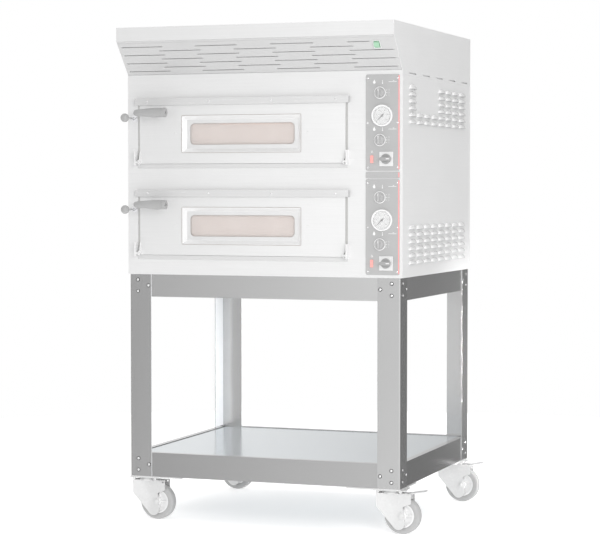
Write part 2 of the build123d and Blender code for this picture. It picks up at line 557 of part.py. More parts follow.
NEEDLE_R = 1
with BuildPart() as gauge_cases:
    for x, z in gauge_places.values():
        rod_y(x, z, PANEL_FRONT - 10, PANEL_FRONT, GAUGE_R)
        rod_y(x, z, PANEL_FRONT - 11, PANEL_FRONT - 3, GAUGE_R - 4, Mode.SUBTRACT)
        rod_y(x, z, PANEL_FRONT, FRONT + 10, 4.5)
        rod_y(x, z, PANEL_FRONT - 11, FRONT + 5, NEEDLE_R + FIT, Mode.SUBTRACT)
save(gauge_cases, "gauge_cases")

for deck, (x, z) in gauge_places.items():
    with BuildPart() as needle:
        rod_y(x, z, PANEL_FRONT - 6, FRONT + 3, NEEDLE_R)
        with BuildSketch(Plane(origin=(x, PANEL_FRONT - 5, z), x_dir=(-1, 0, -1), z_dir=(0, -1, 0))):
            with BuildLine():
                Polyline((-8, -1.4), (23, -0.4), (23, 0.4), (-8, 1.4), close=True)
            make_face()
            Circle(3.5)
        extrude(amount=1)
    save(needle, f"gauge_needle_{deck}")

with BuildPart() as pilot_lamps:
    for deck in DECKS:
        with BuildSketch(front_plane(PANEL_FRONT)):
            with Locations((LAMP_X, PANEL_Z[deck] + LAMP_RISE)):
                RectangleRounded(LAMP_W, LAMP_H, 2)
        extrude(amount=4)
save(pilot_lamps, "pilot_lamps")

# ======================================================================================
# Hood
# ======================================================================================
HOOD_FRONT = FRONT - HOOD_OUT
with BuildPart() as hood_shell:
    with BuildSketch(Plane.YZ.offset(-HALF_W + SHEET)):
        with BuildLine():
            Polyline((HOOD_FRONT + 14, Z_LIP + SHEET), (HOOD_FRONT + 14, Z_LIP), (HOOD_FRONT, Z_LIP), (HOOD_FRONT, Z_TOP),
                     (BACK, Z_TOP), (BACK, Z_SKIRT), (BACK - SHEET, Z_SKIRT), (BACK - SHEET, Z_TOP - SHEET),
                     (HOOD_FRONT + SHEET, Z_TOP - SHEET), (HOOD_FRONT + SHEET, Z_LIP + SHEET), close=True)
        make_face()
    extrude(amount=WIDTH - 2 * SHEET)
    rod_z(0, FLUE_Y, Z_TOP - 3, Z_TOP + 1, FLUE_R - FLUE_T, Mode.SUBTRACT)
save(hood_shell, "hood_shell")

with BuildPart() as hood_cheeks:
    for sign in (-1, 1):
        start = -HALF_W if sign < 0 else HALF_W - SHEET
        with BuildSketch(Plane.YZ.offset(start)):
            with BuildLine():
                Polyline((FRONT + SHEET, Z_SKIRT), (FRONT + SHEET, Z_HOOD), (FRONT, Z_HOOD), (HOOD_FRONT, Z_LIP),
                         (HOOD_FRONT, Z_TOP), (BACK, Z_TOP), (BACK, Z_SKIRT), close=True)
            make_face()
            with Locations(*[(-306 + step * 162, Z_HOOD - 7) for step in range(5)]):
                Rectangle(80, 4, mode=Mode.SUBTRACT)
        extrude(amount=SHEET)
save(hood_cheeks, "hood_cheeks")

with BuildPart() as hood_grille:
    with BuildSketch(SLOPE):
        with Locations((0, SLOPE_LEN / 2 - 3)):
            Rectangle(WIDTH - 2 * SHEET, SLOPE_LEN - 12)
        for row in range(7):
            stagger = row % 2
            for step in range(4 - stagger):
                x = (step - 1.5) * SLOT_PITCH + stagger * SLOT_PITCH / 2
                length = SLOT_L / 2 if row == 6 and step == 3 else SLOT_L
                with Locations((x - (SLOT_L - length) / 2, SLOT_ROW0 + row * SLOT_ROW)):
                    Rectangle(length, SLOT_H, mode=Mode.SUBTRACT)
        with Locations((ROCKER_X, ROCKER_S)):
            Rectangle(ROCKER_W + 2, ROCKER_L + 3, mode=Mode.SUBTRACT)
    extrude(amount=-SHEET)
save(hood_grille, "hood_grille")

with BuildPart() as hood_rocker:
    with BuildSketch(Plane(origin=SLOPE.from_local_coords((ROCKER_X - ROCKER_W / 2, ROCKER_S, 0)),
                           x_dir=SLOPE.y_dir, z_dir=(1, 0, 0))):
        with BuildLine():
            Polyline((-ROCKER_L / 2, -3.5), (0, -1.5), (ROCKER_L / 2, -3.5), (ROCKER_L / 2 - 2, 6), (0, 10),
                     (-ROCKER_L / 2 + 2, 6), close=True)
        make_face()
    extrude(amount=ROCKER_W)
save(hood_rocker, "hood_rocker")

with BuildPart() as flue_collar:
    rod_z(0, FLUE_Y, Z_TOP, Z_TOP + FLUE_H, FLUE_R)
    rod_z(0, FLUE_Y, Z_TOP, Z_TOP + 2, FLUE_R + 15)
    rod_z(0, FLUE_Y, Z_TOP - 1, Z_TOP + FLUE_H + 1, FLUE_R - FLUE_T, Mode.SUBTRACT)
save(flue_collar, "flue_collar")

with BuildPart() as cable_glands:
    for z in GLAND_Z.values():
        rod_y(GLAND_X, z, BACK - 12, BACK, GLAND_R)
        with BuildSketch(front_plane(BACK)):
            with Locations((GLAND_X, z)):
                RegularPolygon(16, 6)
        extrude(amount=-8)
        rod_y(GLAND_X, z, BACK + 8, BACK + 20, 14)
        rod_y(GLAND_X, z, BACK - 13, BACK + 21, GLAND_BORE, Mode.SUBTRACT)
save(cable_glands, "cable_glands")

# ======================================================================================
# Fasteners: stand screws, castor bolts, and the small screws of the panels and lintels
# ======================================================================================
with BuildPart() as fasteners:
    stand_screws(STAND_SCREW_R, 9)
    for sx, sy in CORNERS.values():
        for inset, z in zip(stand_screw_insets, stand_screw_levels):
            rod_y(sx * (STAND_X - inset), z, sy * STAND_Y, sy * (STAND_Y + 2), 4.5)
            rod_x(sy * (STAND_Y - inset), z, sx * STAND_X, sx * (STAND_X + 2), 4.5)
    for x, y in bolt_places:
        rod_z(x, y, HEAD_TOP - HEAD_T, Z_STAND, BOLT_R)
        rod_z(x, y, HEAD_TOP - HEAD_T - 5.5, HEAD_TOP - HEAD_T, 6.5)
    for x, z in panel_screw_places:
        rod_y(x, z, PANEL_FRONT, FRONT + SHEET + 3, 1.5)
        rod_y(x, z, PANEL_FRONT - 1.5, PANEL_FRONT, 3)
    for x, z in lintel_screw_places:
        rod_y(x, z, FRONT - LINTEL_OUT, FRONT + SHEET + 3, 1.5)
        rod_y(x, z, FRONT - LINTEL_OUT - 1.5, FRONT - LINTEL_OUT, 3)
save(fasteners, "fasteners")
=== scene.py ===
"""Looks for a two-deck pizza oven with a slotted hood, on an open stand with castors.

Laid out as an add-on, one operator for each group of pieces, and run as a script.
Metres, +Z up, origin on the floor under the middle of the casing.
"""

import json
import math

import bpy
from bpy.props import FloatProperty, IntProperty, PointerProperty, StringProperty
from mathutils import Matrix, Vector


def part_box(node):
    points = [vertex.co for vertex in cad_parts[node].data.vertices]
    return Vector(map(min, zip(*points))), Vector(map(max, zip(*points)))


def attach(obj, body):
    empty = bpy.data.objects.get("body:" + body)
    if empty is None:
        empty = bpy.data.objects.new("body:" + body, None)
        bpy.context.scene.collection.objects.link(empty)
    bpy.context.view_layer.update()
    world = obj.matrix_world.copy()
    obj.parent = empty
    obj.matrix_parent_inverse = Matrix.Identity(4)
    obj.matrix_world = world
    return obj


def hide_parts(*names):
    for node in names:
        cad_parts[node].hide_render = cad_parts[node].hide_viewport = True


bl_info = {
    "name": "Deck pizza oven",
    "version": (1, 0, 0),
    "blender": (4, 5, 0),
    "location": "3D View > Sidebar > Pizza oven",
    "description": "Builds the finished pieces of a two-deck pizza oven around its fixed frame",
    "category": "Add Mesh",
}

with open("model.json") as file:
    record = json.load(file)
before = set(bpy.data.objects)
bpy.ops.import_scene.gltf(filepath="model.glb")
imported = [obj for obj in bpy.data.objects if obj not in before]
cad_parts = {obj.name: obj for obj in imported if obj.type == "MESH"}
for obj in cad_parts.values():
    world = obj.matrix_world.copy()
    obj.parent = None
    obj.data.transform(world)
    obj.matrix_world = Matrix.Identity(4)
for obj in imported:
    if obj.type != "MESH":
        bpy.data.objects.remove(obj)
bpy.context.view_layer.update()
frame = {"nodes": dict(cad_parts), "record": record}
DECKS = ("upper", "lower")
CORNERS = {"front_left": (-1, -1), "front_right": (1, -1), "back_left": (-1, 1), "back_right": (1, 1)}
MM = 0.001


def low(node):
    """Lowest corner of a node at rest."""
    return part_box(node)[0]


def high(node):
    """Highest corner of a node at rest."""
    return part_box(node)[1]


def middle(node):
    """Middle of a node's box at rest."""
    return (low(node) + high(node)) / 2


FRONT = low("front_panel").y
PANEL_FRONT = low("control_panels").y
DOOR_X = middle("door_glass_upper").x


# ---- sizes and colours a user would change --------------------------------------------
class OvenSizes(bpy.types.PropertyGroup):
    """Sizes of the finished pieces, in metres."""

    edge: FloatProperty(name="Sheet edge", description="How far folded sheet edges are eased",
                        default=0.0008, subtype="DISTANCE", unit="LENGTH")
    louvre_depth: FloatProperty(name="Louvre depth", description="How far a louvre stands out of its panel",
                                default=0.0085, subtype="DISTANCE", unit="LENGTH")
    louvre_height: FloatProperty(name="Louvre height", description="Height of a louvre's pressed hood",
                                 default=0.0145, subtype="DISTANCE", unit="LENGTH")
    rim_ribs: IntProperty(name="Rim ribs", description="Ribs on each face of a castor rim",
                          default=5, min=3, max=16)
    steps: IntProperty(name="Turning steps", description="Faces round a turned piece",
                       default=48, min=12, max=96)


class OvenColours(bpy.types.PropertyGroup):
    """Colours as sRGB hex values."""

    casing: StringProperty(name="Casing", description="Pale stainless casing", default="#E9E9E9")
    stand: StringProperty(name="Stand", description="Satin stainless stand", default="#D2D2D2")
    fascia: StringProperty(name="Fascia", description="Control panels", default="#B6B6B6")
    grip: StringProperty(name="Grip", description="Handle grips", default="#ACACAC")
    tyre: StringProperty(name="Tyre", description="Castor tyres", default="#BABABA")
    lamp: StringProperty(name="Lamp", description="Pilot lamp lenses", default="#F5A29C")
    rocker: StringProperty(name="Rocker", description="Hood switch", default="#A4CDB0")


def sizes():
    return bpy.context.scene.oven_sizes


def colours():
    return bpy.context.scene.oven_colours


# ---- modelling helpers ----------------------------------------------------------------
def select_only(*things):
    """Select these objects and make the first one active."""
    bpy.ops.object.select_all(action="DESELECT")
    for thing in things:
        thing.select_set(True)
    bpy.context.view_layer.objects.active = things[0]


def edit(thing, everything=True):
    """Open a mesh in edit mode, with everything or nothing selected."""
    select_only(thing)
    bpy.ops.object.mode_set(mode="EDIT")
    bpy.ops.mesh.select_all(action="SELECT" if everything else "DESELECT")


def done():
    bpy.ops.object.mode_set(mode="OBJECT")


def settle(thing):
    """Put an object's place, turn and scale into its mesh."""
    select_only(thing)
    bpy.ops.object.transform_apply(location=True, rotation=True, scale=True)


def modify(thing, kind, **settings):
    """Add a modifier and apply it."""
    select_only(thing)
    modifier = thing.modifiers.new(kind.title(), kind)
    for key, value in settings.items():
        setattr(modifier, key, value)
    bpy.ops.object.modifier_apply(modifier=modifier.name)


def ease(thing, width, segments=2, angle=30):
    """Round a piece's sharp edges by width, with its flats kept flat in shading."""
    modify(thing, "BEVEL", width=width, segments=segments, limit_method="ANGLE",
           angle_limit=math.radians(angle), use_clamp_overlap=True)
    smooth(thing, 50)
    modify(thing, "WEIGHTED_NORMAL", mode="FACE_AREA", weight=100, keep_sharp=True)


def smooth(thing, angle=40):
    select_only(thing)
    bpy.ops.object.shade_smooth_by_angle(angle=math.radians(angle))


def face_out(thing):
    """Make every face point outwards, after its doubles are merged."""
    edit(thing)
    bpy.ops.mesh.remove_doubles(threshold=1e-6)
    bpy.ops.mesh.normals_make_consistent(inside=False)
    done()


def from_outline(name, points, faces=(), edges=()):
    """A mesh object from a few points worked out by its caller."""
    mesh = bpy.data.meshes.new(name)
    mesh.from_pydata([tuple(p) for p in points], list(edges), list(faces))
    thing = bpy.data.objects.new(name, mesh)
    bpy.context.scene.collection.objects.link(thing)
    return thing


def turned(name, outline, closed=True, steps=None):
    """Spin a (radius, height) outline about Z, as on a lathe."""
    count = len(outline)
    edges = [(i, i + 1) for i in range(count - 1)] + ([(count - 1, 0)] if closed else [])
    thing = from_outline(name, [(r, 0, h) for r, h in outline], edges=edges)
    edit(thing)
    bpy.ops.mesh.spin(steps=steps or sizes().steps, angle=math.tau, center=(0, 0, 0), axis=(0, 0, 1))
    done()
    face_out(thing)
    return thing


def arc(wide, tall, first, last, count, x=0.0, y=0.0):
    """Points round an ellipse about (x, y), from first to last in degrees."""
    angles = [math.radians(first + (last - first) * step / (count - 1)) for step in range(count)]
    return [(x + wide * math.cos(angle), y + tall * math.sin(angle)) for angle in angles]


def lathed(name, outline, matrix, angle=40, **how):
    """A turned piece with its corners kept sharp, stood in its place."""
    thing = turned(name, outline, **how)
    smooth(thing, angle)
    return place(thing, matrix)


def box_piece(name, lo, hi):
    """A cube primitive at its size and place."""
    lo, hi = Vector(lo), Vector(hi)
    bpy.ops.mesh.primitive_cube_add(size=1, location=(lo + hi) / 2)
    thing = bpy.context.object
    thing.name = name
    thing.scale = hi - lo
    settle(thing)
    return thing


def eased_box(name, lo, hi, width, segments=2):
    """A box with its edges eased."""
    thing = box_piece(name, lo, hi)
    ease(thing, width, segments)
    return thing


def disc(name, centre, radius, depth, vertices=32):
    """A short cylinder along Z, standing on its centre."""
    bpy.ops.mesh.primitive_cylinder_add(vertices=vertices, radius=radius, depth=depth,
                                        location=Vector(centre) + Vector((0, 0, depth / 2)))
    thing = bpy.context.object
    thing.name = name
    settle(thing)
    return thing


def select_faces(thing, wanted):
    """In edit mode, select only the faces whose middle and normal pass a test."""
    bpy.ops.object.mode_set(mode="OBJECT")
    chosen = [wanted(face.center, face.normal) for face in thing.data.polygons]
    for part in (thing.data.vertices, thing.data.edges):
        part.foreach_set("select", [False] * len(part))
    thing.data.polygons.foreach_set("select", chosen)
    bpy.ops.object.mode_set(mode="EDIT")
    bpy.ops.mesh.select_mode(type="FACE")


def upward(centre, normal):
    """A test for the faces that look up."""
    return normal.z > 0.9


def taper(thing, x, y):
    """Shrink a piece's top face."""
    edit(thing, everything=False)
    select_faces(thing, upward)
    bpy.ops.transform.resize(value=(x, y, 1))
    done()


def place(thing, matrix):
    """Move a finished mesh by a matrix, leaving its object at the origin."""
    thing.data.transform(matrix)
    thing.data.update()
    return thing


def copied(template, matrix, name="copy"):
    """A copy of a finished mesh, moved by a matrix."""
    thing = template.copy()
    thing.data = template.data.copy()
    thing.name = name
    bpy.context.scene.collection.objects.link(thing)
    return place(thing, matrix)


def joined(name, things):
    """Join several meshes into one piece."""
    if len(things) > 1:
        select_only(*things)
        bpy.ops.object.join()
    things[0].name = name
    return things[0]


def scattered(name, template, matrices):
    """One piece made of copies of a template, which is then removed."""
    copies = [copied(template, matrix) for matrix in matrices]
    bpy.data.objects.remove(template)
    return joined(name, copies)


FACING_FRONT = Matrix.Rotation(math.radians(90), 4, "X")      # local +Z to -Y
FACING_RIGHT = Matrix.Rotation(math.radians(90), 4, "Y")      # local +Z to +X


def facing(point, turn=FACING_FRONT):
    """A matrix that stands a piece made along +Z on a point, facing another way."""
    return Matrix.Translation(Vector(point)) @ turn


def piece(thing, body, slot, material, *nodes):
    """Give a finished piece its material, if it has none yet, its body and nodes; the finish slot is not
    used.
    """
    if material:
        thing.data.materials.clear()
        thing.data.materials.append(material)
    thing.select_set(False)
    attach(thing, body)
    if nodes:
        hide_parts(*nodes)
    return thing


def keep_node(node, material):
    """Finish a node whose own shape is right."""
    thing = frame["nodes"][node]
    thing.data.materials.clear()
    thing.data.materials.append(material)


def eased_copy(node, width, segments=2, angle=30, shape=None):
    """A copy of a node, its triangles merged, shaped by a function if one is given, and its edges eased."""
    thing = from_outline(f"{node}_eased", [(0, 0, 0)])
    thing.data = frame["nodes"][node].data.copy()
    thing.data.materials.clear()
    edit(thing)
    bpy.ops.mesh.remove_doubles(threshold=1e-6)
    bpy.ops.mesh.dissolve_limited(angle_limit=math.radians(0.3))
    bpy.ops.mesh.quads_convert_to_tris(quad_method="BEAUTY", ngon_method="BEAUTY")
    bpy.ops.mesh.tris_convert_to_quads(face_threshold=math.radians(0.3), shape_threshold=math.radians(60))
    done()
    if shape:
        shape(thing)
    ease(thing, width, segments, angle)
    return thing


def body_of(node):
    return next(name for name, nodes in frame["record"]["behaviour"]["bodies"].items() if node in nodes)


def slot_of(node):
    return next(row["material_slot"] for row in frame["record"]["subparts"] if row["node"] == node)


def eased(node, material, width=None, segments=2, angle=30, shape=None):
    """An eased copy that stands for its node."""
    made = eased_copy(node, width or sizes().edge, segments, angle, shape)
    return piece(made, body_of(node), slot_of(node), material, node)


# ---- materials ------------------------------------------------------------------------
def linear(value):
    """sRGB hex to a linear colour with alpha."""
    channels = [int(value[i:i + 2], 16) / 255 for i in (1, 3, 5)]
    return [c / 12.92 if c <= 0.04045 else ((c + 0.055) / 1.055) ** 2.4 for c in channels] + [1]


def add_node(tree, kind, inputs=None, **settings):
    """Add one node; each input is a value or the output socket to link."""
    made = tree.nodes.new(kind)
    for key, value in settings.items():
        setattr(made, key, value)
    for key, value in (inputs or {}).items():
        if isinstance(value, bpy.types.NodeSocket):
            tree.links.new(value, made.inputs[key])
        else:
            made.inputs[key].default_value = value
    return made


def new_material(name):
    """An empty node material with its output and Principled shader."""
    material = bpy.data.materials.new(name)
    material.use_nodes = True
    tree = material.node_tree
    tree.nodes.clear()
    shader = add_node(tree, "ShaderNodeBsdfPrincipled")
    add_node(tree, "ShaderNodeOutputMaterial", {"Surface": shader.outputs[0]})
    return material, tree


def pattern(tree, kind, stretch=(1, 1, 1), **inputs):
    """A texture of some kind on the piece's own coordinates; its scale is in cells to the metre."""
    coords = add_node(tree, "ShaderNodeTexCoord").outputs["Object"]
    inputs["Vector"] = add_node(tree, "ShaderNodeMapping", {"Vector": coords, "Scale": stretch}).outputs[0]
    return add_node(tree, f"ShaderNodeTex{kind}", inputs)


def dressed(material, factor, dark, light, rough, relief=None, even=None):
    """Blend two colours by a factor, and set the roughness, the relief and what is even all over.

    Roughness is a number, or an output with its low and high; a relief is an output, strength and depth.
    """
    tree = material.node_tree
    shader = tree.nodes["Principled BSDF"]
    blend = add_node(tree, "ShaderNodeMix", {"Factor": factor, "A": linear(dark), "B": linear(light)},
                     data_type="RGBA")
    tree.links.new(blend.outputs["Result"], shader.inputs["Base Color"])
    if isinstance(rough, tuple):
        span = add_node(tree, "ShaderNodeMapRange", dict(zip(("Value", "To Min", "To Max"), rough)))
        tree.links.new(span.outputs[0], shader.inputs["Roughness"])
    else:
        shader.inputs["Roughness"].default_value = rough
    if relief:
        bump = add_node(tree, "ShaderNodeBump", dict(zip(("Height", "Strength", "Distance"), relief)))
        tree.links.new(bump.outputs[0], shader.inputs["Normal"])
    for key, value in (even or {}).items():
        shader.inputs[key].default_value = value
    return material


def shade(value, amount):
    """A hex colour made lighter or darker by an amount out of 255."""
    return "#" + "".join(f"{min(255, max(0, int(value[i:i + 2], 16) + amount)):02X}" for i in (1, 3, 5))


def brushed(name, colour, along="X", metallic=0.35, roughness=0.34, contrast=4, grain_mm=3.0, sheen=0.07):
    """Stainless sheet, brushed with an abrasive belt: fine lines one way and a stretched sheen.

    Real grain is about 0.2 mm wide; it is drawn grain_mm wide so that it shows.
    """
    material, tree = new_material(name)
    across = 1 / (grain_mm * MM)
    stretch = [across / 60 if axis == along else across for axis in "XYZ"]
    grain = pattern(tree, "Noise", stretch, Scale=1.0, Detail=3.0, Roughness=0.65).outputs[0]
    clouds = pattern(tree, "Noise", Scale=3.0, Detail=2.0).outputs[0]
    both = add_node(tree, "ShaderNodeMath", {0: grain, 1: clouds}, operation="MULTIPLY").outputs[0]
    factor = add_node(tree, "ShaderNodeMapRange", {"Value": both, "To Min": -0.3, "To Max": 1.6}).outputs[0]
    return dressed(material, factor, shade(colour, -contrast), shade(colour, contrast),
                   (grain, roughness - sheen, roughness + sheen), (grain, 0.04, 0.0001),
                   {"Metallic": metallic})


def polished(name, colour, metallic=1.0, roughness=0.12):
    """Chromed or bright-rolled steel: a mirror with faint polishing marks and finger smears."""
    material, tree = new_material(name)
    smear = pattern(tree, "Noise", Scale=22.0, Detail=4.0).outputs[0]
    return dressed(material, smear, shade(colour, -3), shade(colour, 3),
                   (smear, roughness * 0.7, roughness * 1.5), even={"Metallic": metallic})


def moulded(name, colour, roughness=0.42, spark_mm=0.8, contrast=5):
    """Moulded plastic: spark-eroded tool texture, drawn spark_mm wide, and slightly worn high spots."""
    material, tree = new_material(name)
    pits = pattern(tree, "Noise", Scale=1 / (spark_mm * MM), Detail=2.0).outputs[0]
    wear = pattern(tree, "Noise", Scale=35.0, Detail=3.0).outputs[0]
    return dressed(material, wear, shade(colour, -contrast), shade(colour, contrast),
                   (wear, roughness - 0.08, roughness + 0.08), (pits, 0.15, 0.0002))


def zinc(name, colour, metallic=0.45, roughness=0.3):
    """Bright zinc plating on pressed steel: faintly crystalline, with cloudy patches."""
    material, tree = new_material(name)
    cells = pattern(tree, "Voronoi", Scale=160.0).outputs["Color"]
    grey = add_node(tree, "ShaderNodeRGBToBW", {"Color": cells}).outputs[0]
    clouds = pattern(tree, "Noise", Scale=18.0, Detail=3.0).outputs[0]
    mixed = add_node(tree, "ShaderNodeMath", {0: grey, 1: clouds}, operation="MULTIPLY").outputs[0]
    return dressed(material, mixed, shade(colour, -6), shade(colour, 5),
                   (clouds, roughness - 0.05, roughness + 0.12), even={"Metallic": metallic})


def rubber(name, colour):
    """Grey non-marking rubber, or cloth and paint as matt as it: scuffed, with no shine."""
    material, tree = new_material(name)
    scuff = pattern(tree, "Noise", Scale=90.0, Detail=5.0).outputs[0]
    return dressed(material, scuff, shade(colour, -9), shade(colour, 6), (scuff, 0.55, 0.8),
                   (scuff, 0.2, 0.0003))


def stone(name):
    """Fired refractory slab: sandy, with baked-on darker patches and small pores."""
    material, tree = new_material(name)
    patches = pattern(tree, "Noise", Scale=9.0, Detail=5.0).outputs[0]
    pores = pattern(tree, "Noise", Scale=420.0, Detail=2.0).outputs[0]
    return dressed(material, patches, "#D9C4A6", "#F0E2CC", 0.9, (pores, 0.4, 0.0006))


def wool(name):
    """Mineral wool blanket: yellow-brown, matt and fibrous."""
    material, tree = new_material(name)
    fibre = pattern(tree, "Noise", (40, 250, 250), Scale=1.0, Detail=6.0).outputs[0]
    return dressed(material, fibre, "#A8955E", "#D8C98F", 1.0)


def pane(name, thin, thick, cover):
    """Clear glass under a light film of haze, from thin to thick, that covers a share of what is behind."""
    material, tree = new_material(name)
    haze = pattern(tree, "Noise", Scale=14.0, Detail=3.0).outputs[0]
    return dressed(material, haze, thin, thick, (haze, 0.03, 0.12), even={"IOR": 1.5, "Alpha": cover})


def lit(colour, glow):
    """What a shader needs to glow in a colour."""
    return {"Emission Color": linear(colour), "Emission Strength": glow}


def lens(name, colour, glow=0.25):
    """Clear moulded polycarbonate over a small lamp: saturated, glossy and lit from behind."""
    material, tree = new_material(name)
    ribs = pattern(tree, "Wave", Scale=260.0)
    ribs.bands_direction = "Z"
    return dressed(material, ribs.outputs[0], shade(colour, -14), shade(colour, 10), 0.15,
                   even=lit(colour, glow))


def glowing_bar(name):
    """Sheathed heating element, half on: dark oxide with a dull orange heat."""
    material, tree = new_material(name)
    oxide = pattern(tree, "Noise", Scale=60.0, Detail=3.0).outputs[0]
    return dressed(material, oxide, "#8A5A42", "#B8795A", 0.6, even=lit("#FF8A3C", 0.9))


def printed(name, colour):
    """Screen-printed ink on the fascia: flat, matt and slightly raised."""
    material, tree = new_material(name)
    mottle = pattern(tree, "Noise", Scale=500.0, Detail=2.0).outputs[0]
    return dressed(material, mottle, shade(colour, -4), shade(colour, 3), 0.6)


MATERIALS = {}


def mat(name):
    return MATERIALS[name]


def make_materials():
    """Every finish of the oven, by the name of the real thing."""
    c = colours()
    satin = dict(metallic=0.95, roughness=0.24, contrast=3, sheen=0.02)
    MATERIALS.update({
        "casing_front": brushed("stainless_front_brushed", c.casing, metallic=0.14),
        # Two steps lighter than the front, for sides that get less light: painted light.
        "casing_side": brushed("stainless_side_brushed_painted_light", shade(c.casing, 2), "Y", metallic=0.05),
        # Four steps lighter than the casing, to brighten the doors: painted light.
        "door": brushed("stainless_door_brushed_painted_light", shade(c.casing, 4), metallic=0.2, roughness=0.16,
                        sheen=0.04),
        "hood_front": brushed("stainless_hood_lip", shade(c.casing, -3), metallic=0.15),
        # Twenty-five steps darker than the casing, for the grille on the down-facing slope: painted shade.
        "grille": brushed("stainless_grille_painted_shade", shade(c.casing, -25), metallic=0.15),
        # Twelve steps lighter than the casing the louvres are pressed from: painted highlight.
        "louvre": brushed("stainless_louvres_painted_highlight", shade(c.casing, 12), "Y", metallic=0.15, roughness=0.25),
        "lintel": brushed("stainless_lintel", shade(c.casing, -10), metallic=0.2, roughness=0.25),
        "stand_upright": brushed("stainless_posts_satin", c.stand, "Z", **satin),
        # The top rails ten steps lighter and the bottom rails twelve steps darker than the posts' steel:
        # painted light and painted shade.
        "top_rail": brushed("stainless_top_rails_painted_light", shade(c.stand, 10), **satin),
        "bottom_rail": brushed("stainless_bottom_rails_painted_shade", shade(c.stand, -12), **satin),
        "chamber": brushed("aluminised_chamber_steel", "#D8C8B4", "Y", metallic=0.5, roughness=0.4,
                           contrast=8),
        "switch_plate": brushed("anodised_switch_plate", "#F3F3F3", metallic=0.3, roughness=0.3),
        # Near white and almost matt, for the posts' inward faces: painted reflection of a bright surround on
        # the satin steel.
        "post_inside_painted_reflection": polished("stainless_post_inside_painted_reflection", "#F4F6F8", metallic=0.1, roughness=0.3),
        "shelf": polished("stainless_shelf_bright", "#CFD5D9", metallic=0.8, roughness=0.16),
        "bright_frame": polished("window_frame_polished", "#F2F2F2", metallic=0.45, roughness=0.2),
        "chrome": polished("chromed_rod", "#E6E6E8", roughness=0.1),
        "zinc": zinc("zinc_plated_pressing", "#ECECEC"),
        "bracket": zinc("zinc_plated_bracket", "#F4F4F4", metallic=0.1, roughness=0.35),
        "screw": zinc("zinc_plated_screw", "#F4F4F4", metallic=0.7, roughness=0.22),
        "collar": zinc("galvanised_collar", "#D5D7D9", metallic=0.6, roughness=0.4),
        "glass": pane("toughened_oven_glass", "#F2E9E5", "#FAF3EF", 0.48),
        "lens_glass": pane("gauge_lens", "#FFFFFF", "#FFFFFF", 0.1),
        "stone": stone("refractory_stone"),
        "element": glowing_bar("heating_element_sheath"),
        "wool": wool("mineral_wool_blanket"),
        "fascia": moulded("fascia_polycarbonate_film", c.fascia, roughness=0.38, contrast=3),
        "knob": moulded("phenolic_knob", "#B8B8B8", roughness=0.35),
        "switch_knob": moulded("phenolic_switch_knob", "#A6A6A6", roughness=0.35),
        "grip": moulded("phenolic_grip", c.grip, roughness=0.4, contrast=6),
        "bezel": moulded("white_enamelled_bezel", "#F4F4F4", roughness=0.25, contrast=2),
        "rim": moulded("polypropylene_rim", "#F3F3F3", roughness=0.45, contrast=3),
        "gland": moulded("nylon_gland", "#8E8E8E", roughness=0.5),
        "white_print": printed("white_screen_print", "#F6F6F6"),
        "red_print": printed("red_screen_print", "#FFA6A6"),
        "grey_print": printed("grey_screen_print", "#8C8C8C"),
        "dial": printed("gauge_dial_card", "#DDDDDD"),
        "needle": printed("needle_lacquer", "#6A6A6A"),
        "lamp": lens("pilot_lamp_lens", c.lamp),
        "rocker": lens("rocker_switch_green", c.rocker, glow=0.04),
        # Dark rings under the stand's screw heads: painted shadow.
        "shadow_ring": rubber("dark_ring_painted_shadow", "#4C4C4C"),
        "rubber": rubber("grey_rubber_tyre", c.tyre),
        "gasket": rubber("woven_glass_fibre_gasket", "#BDBDBB"),
        "filter": rubber("knitted_grease_filter", "#EDEDED"),
        "seal": rubber("silicone_window_seal", "#B7B2AE"),
    })


# ---- stand ----------------------------------------------------------------------------
POST_W, POST_T, POST_BEND = 0.080, 0.003, 0.004


def extruded(name, outline, depth):
    """A solid made by pushing a flat outline in XY up along Z."""
    thing = from_outline(name, [(x, y, 0) for x, y in outline], faces=[tuple(range(len(outline)))])
    edit(thing)
    bpy.ops.mesh.extrude_region_move(TRANSFORM_OT_translate={"value": (0, 0, depth)})
    done()
    face_out(thing)
    return thing


def make_posts():
    """Four posts folded from sheet to an L, their corners outwards."""
    lo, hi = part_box("stand_posts")
    ell = [(POST_W, 0), (POST_W, POST_T), (POST_T + 0.001, POST_T), (POST_T, POST_T + 0.001),
           (POST_T, POST_W), (0, POST_W)] + arc(POST_BEND, POST_BEND, 180, 270, 7, POST_BEND, POST_BEND)
    posts = []
    for sx, sy in CORNERS.values():
        post = extruded("post", ell, hi.z - lo.z)
        place(post, Matrix.Translation((sx * hi.x, sy * hi.y, lo.z)) @ Matrix.Diagonal((-sx, -sy, 1, 1)))
        face_out(post)
        ease(post, 0.0006)
        post.data.materials.append(mat("stand_upright"))
        # Faces turned in towards the stand's middle take the near-white matt copy: painted reflection.
        post.data.materials.append(mat("post_inside_painted_reflection"))
        for face in post.data.polygons:
            face.material_index = 1 if face.normal.x * sx < -0.7 else 0
        posts.append(post)
    made = joined("posts", posts)
    piece(made, "oven", "stand_steel", None, "stand_posts")


def make_stand():
    make_posts()
    # Rails in a lighter and a darker copy of the posts' steel: painted light and painted shade.
    keep_node("top_rails", mat("top_rail"))
    keep_node("bottom_rails", mat("bottom_rail"))
    eased("corner_plates", mat("zinc"))
    eased("shelf", mat("shelf"), width=0.0014, segments=3)


# ---- castors --------------------------------------------------------------------------
WHEEL_R = high("castor_wheel_front_left").z / 2
TYRE_W = 0.032
RIM_R = 0.0425
LEG_OUT = 0.023                   # outer face of a fork leg, from the wheel's middle


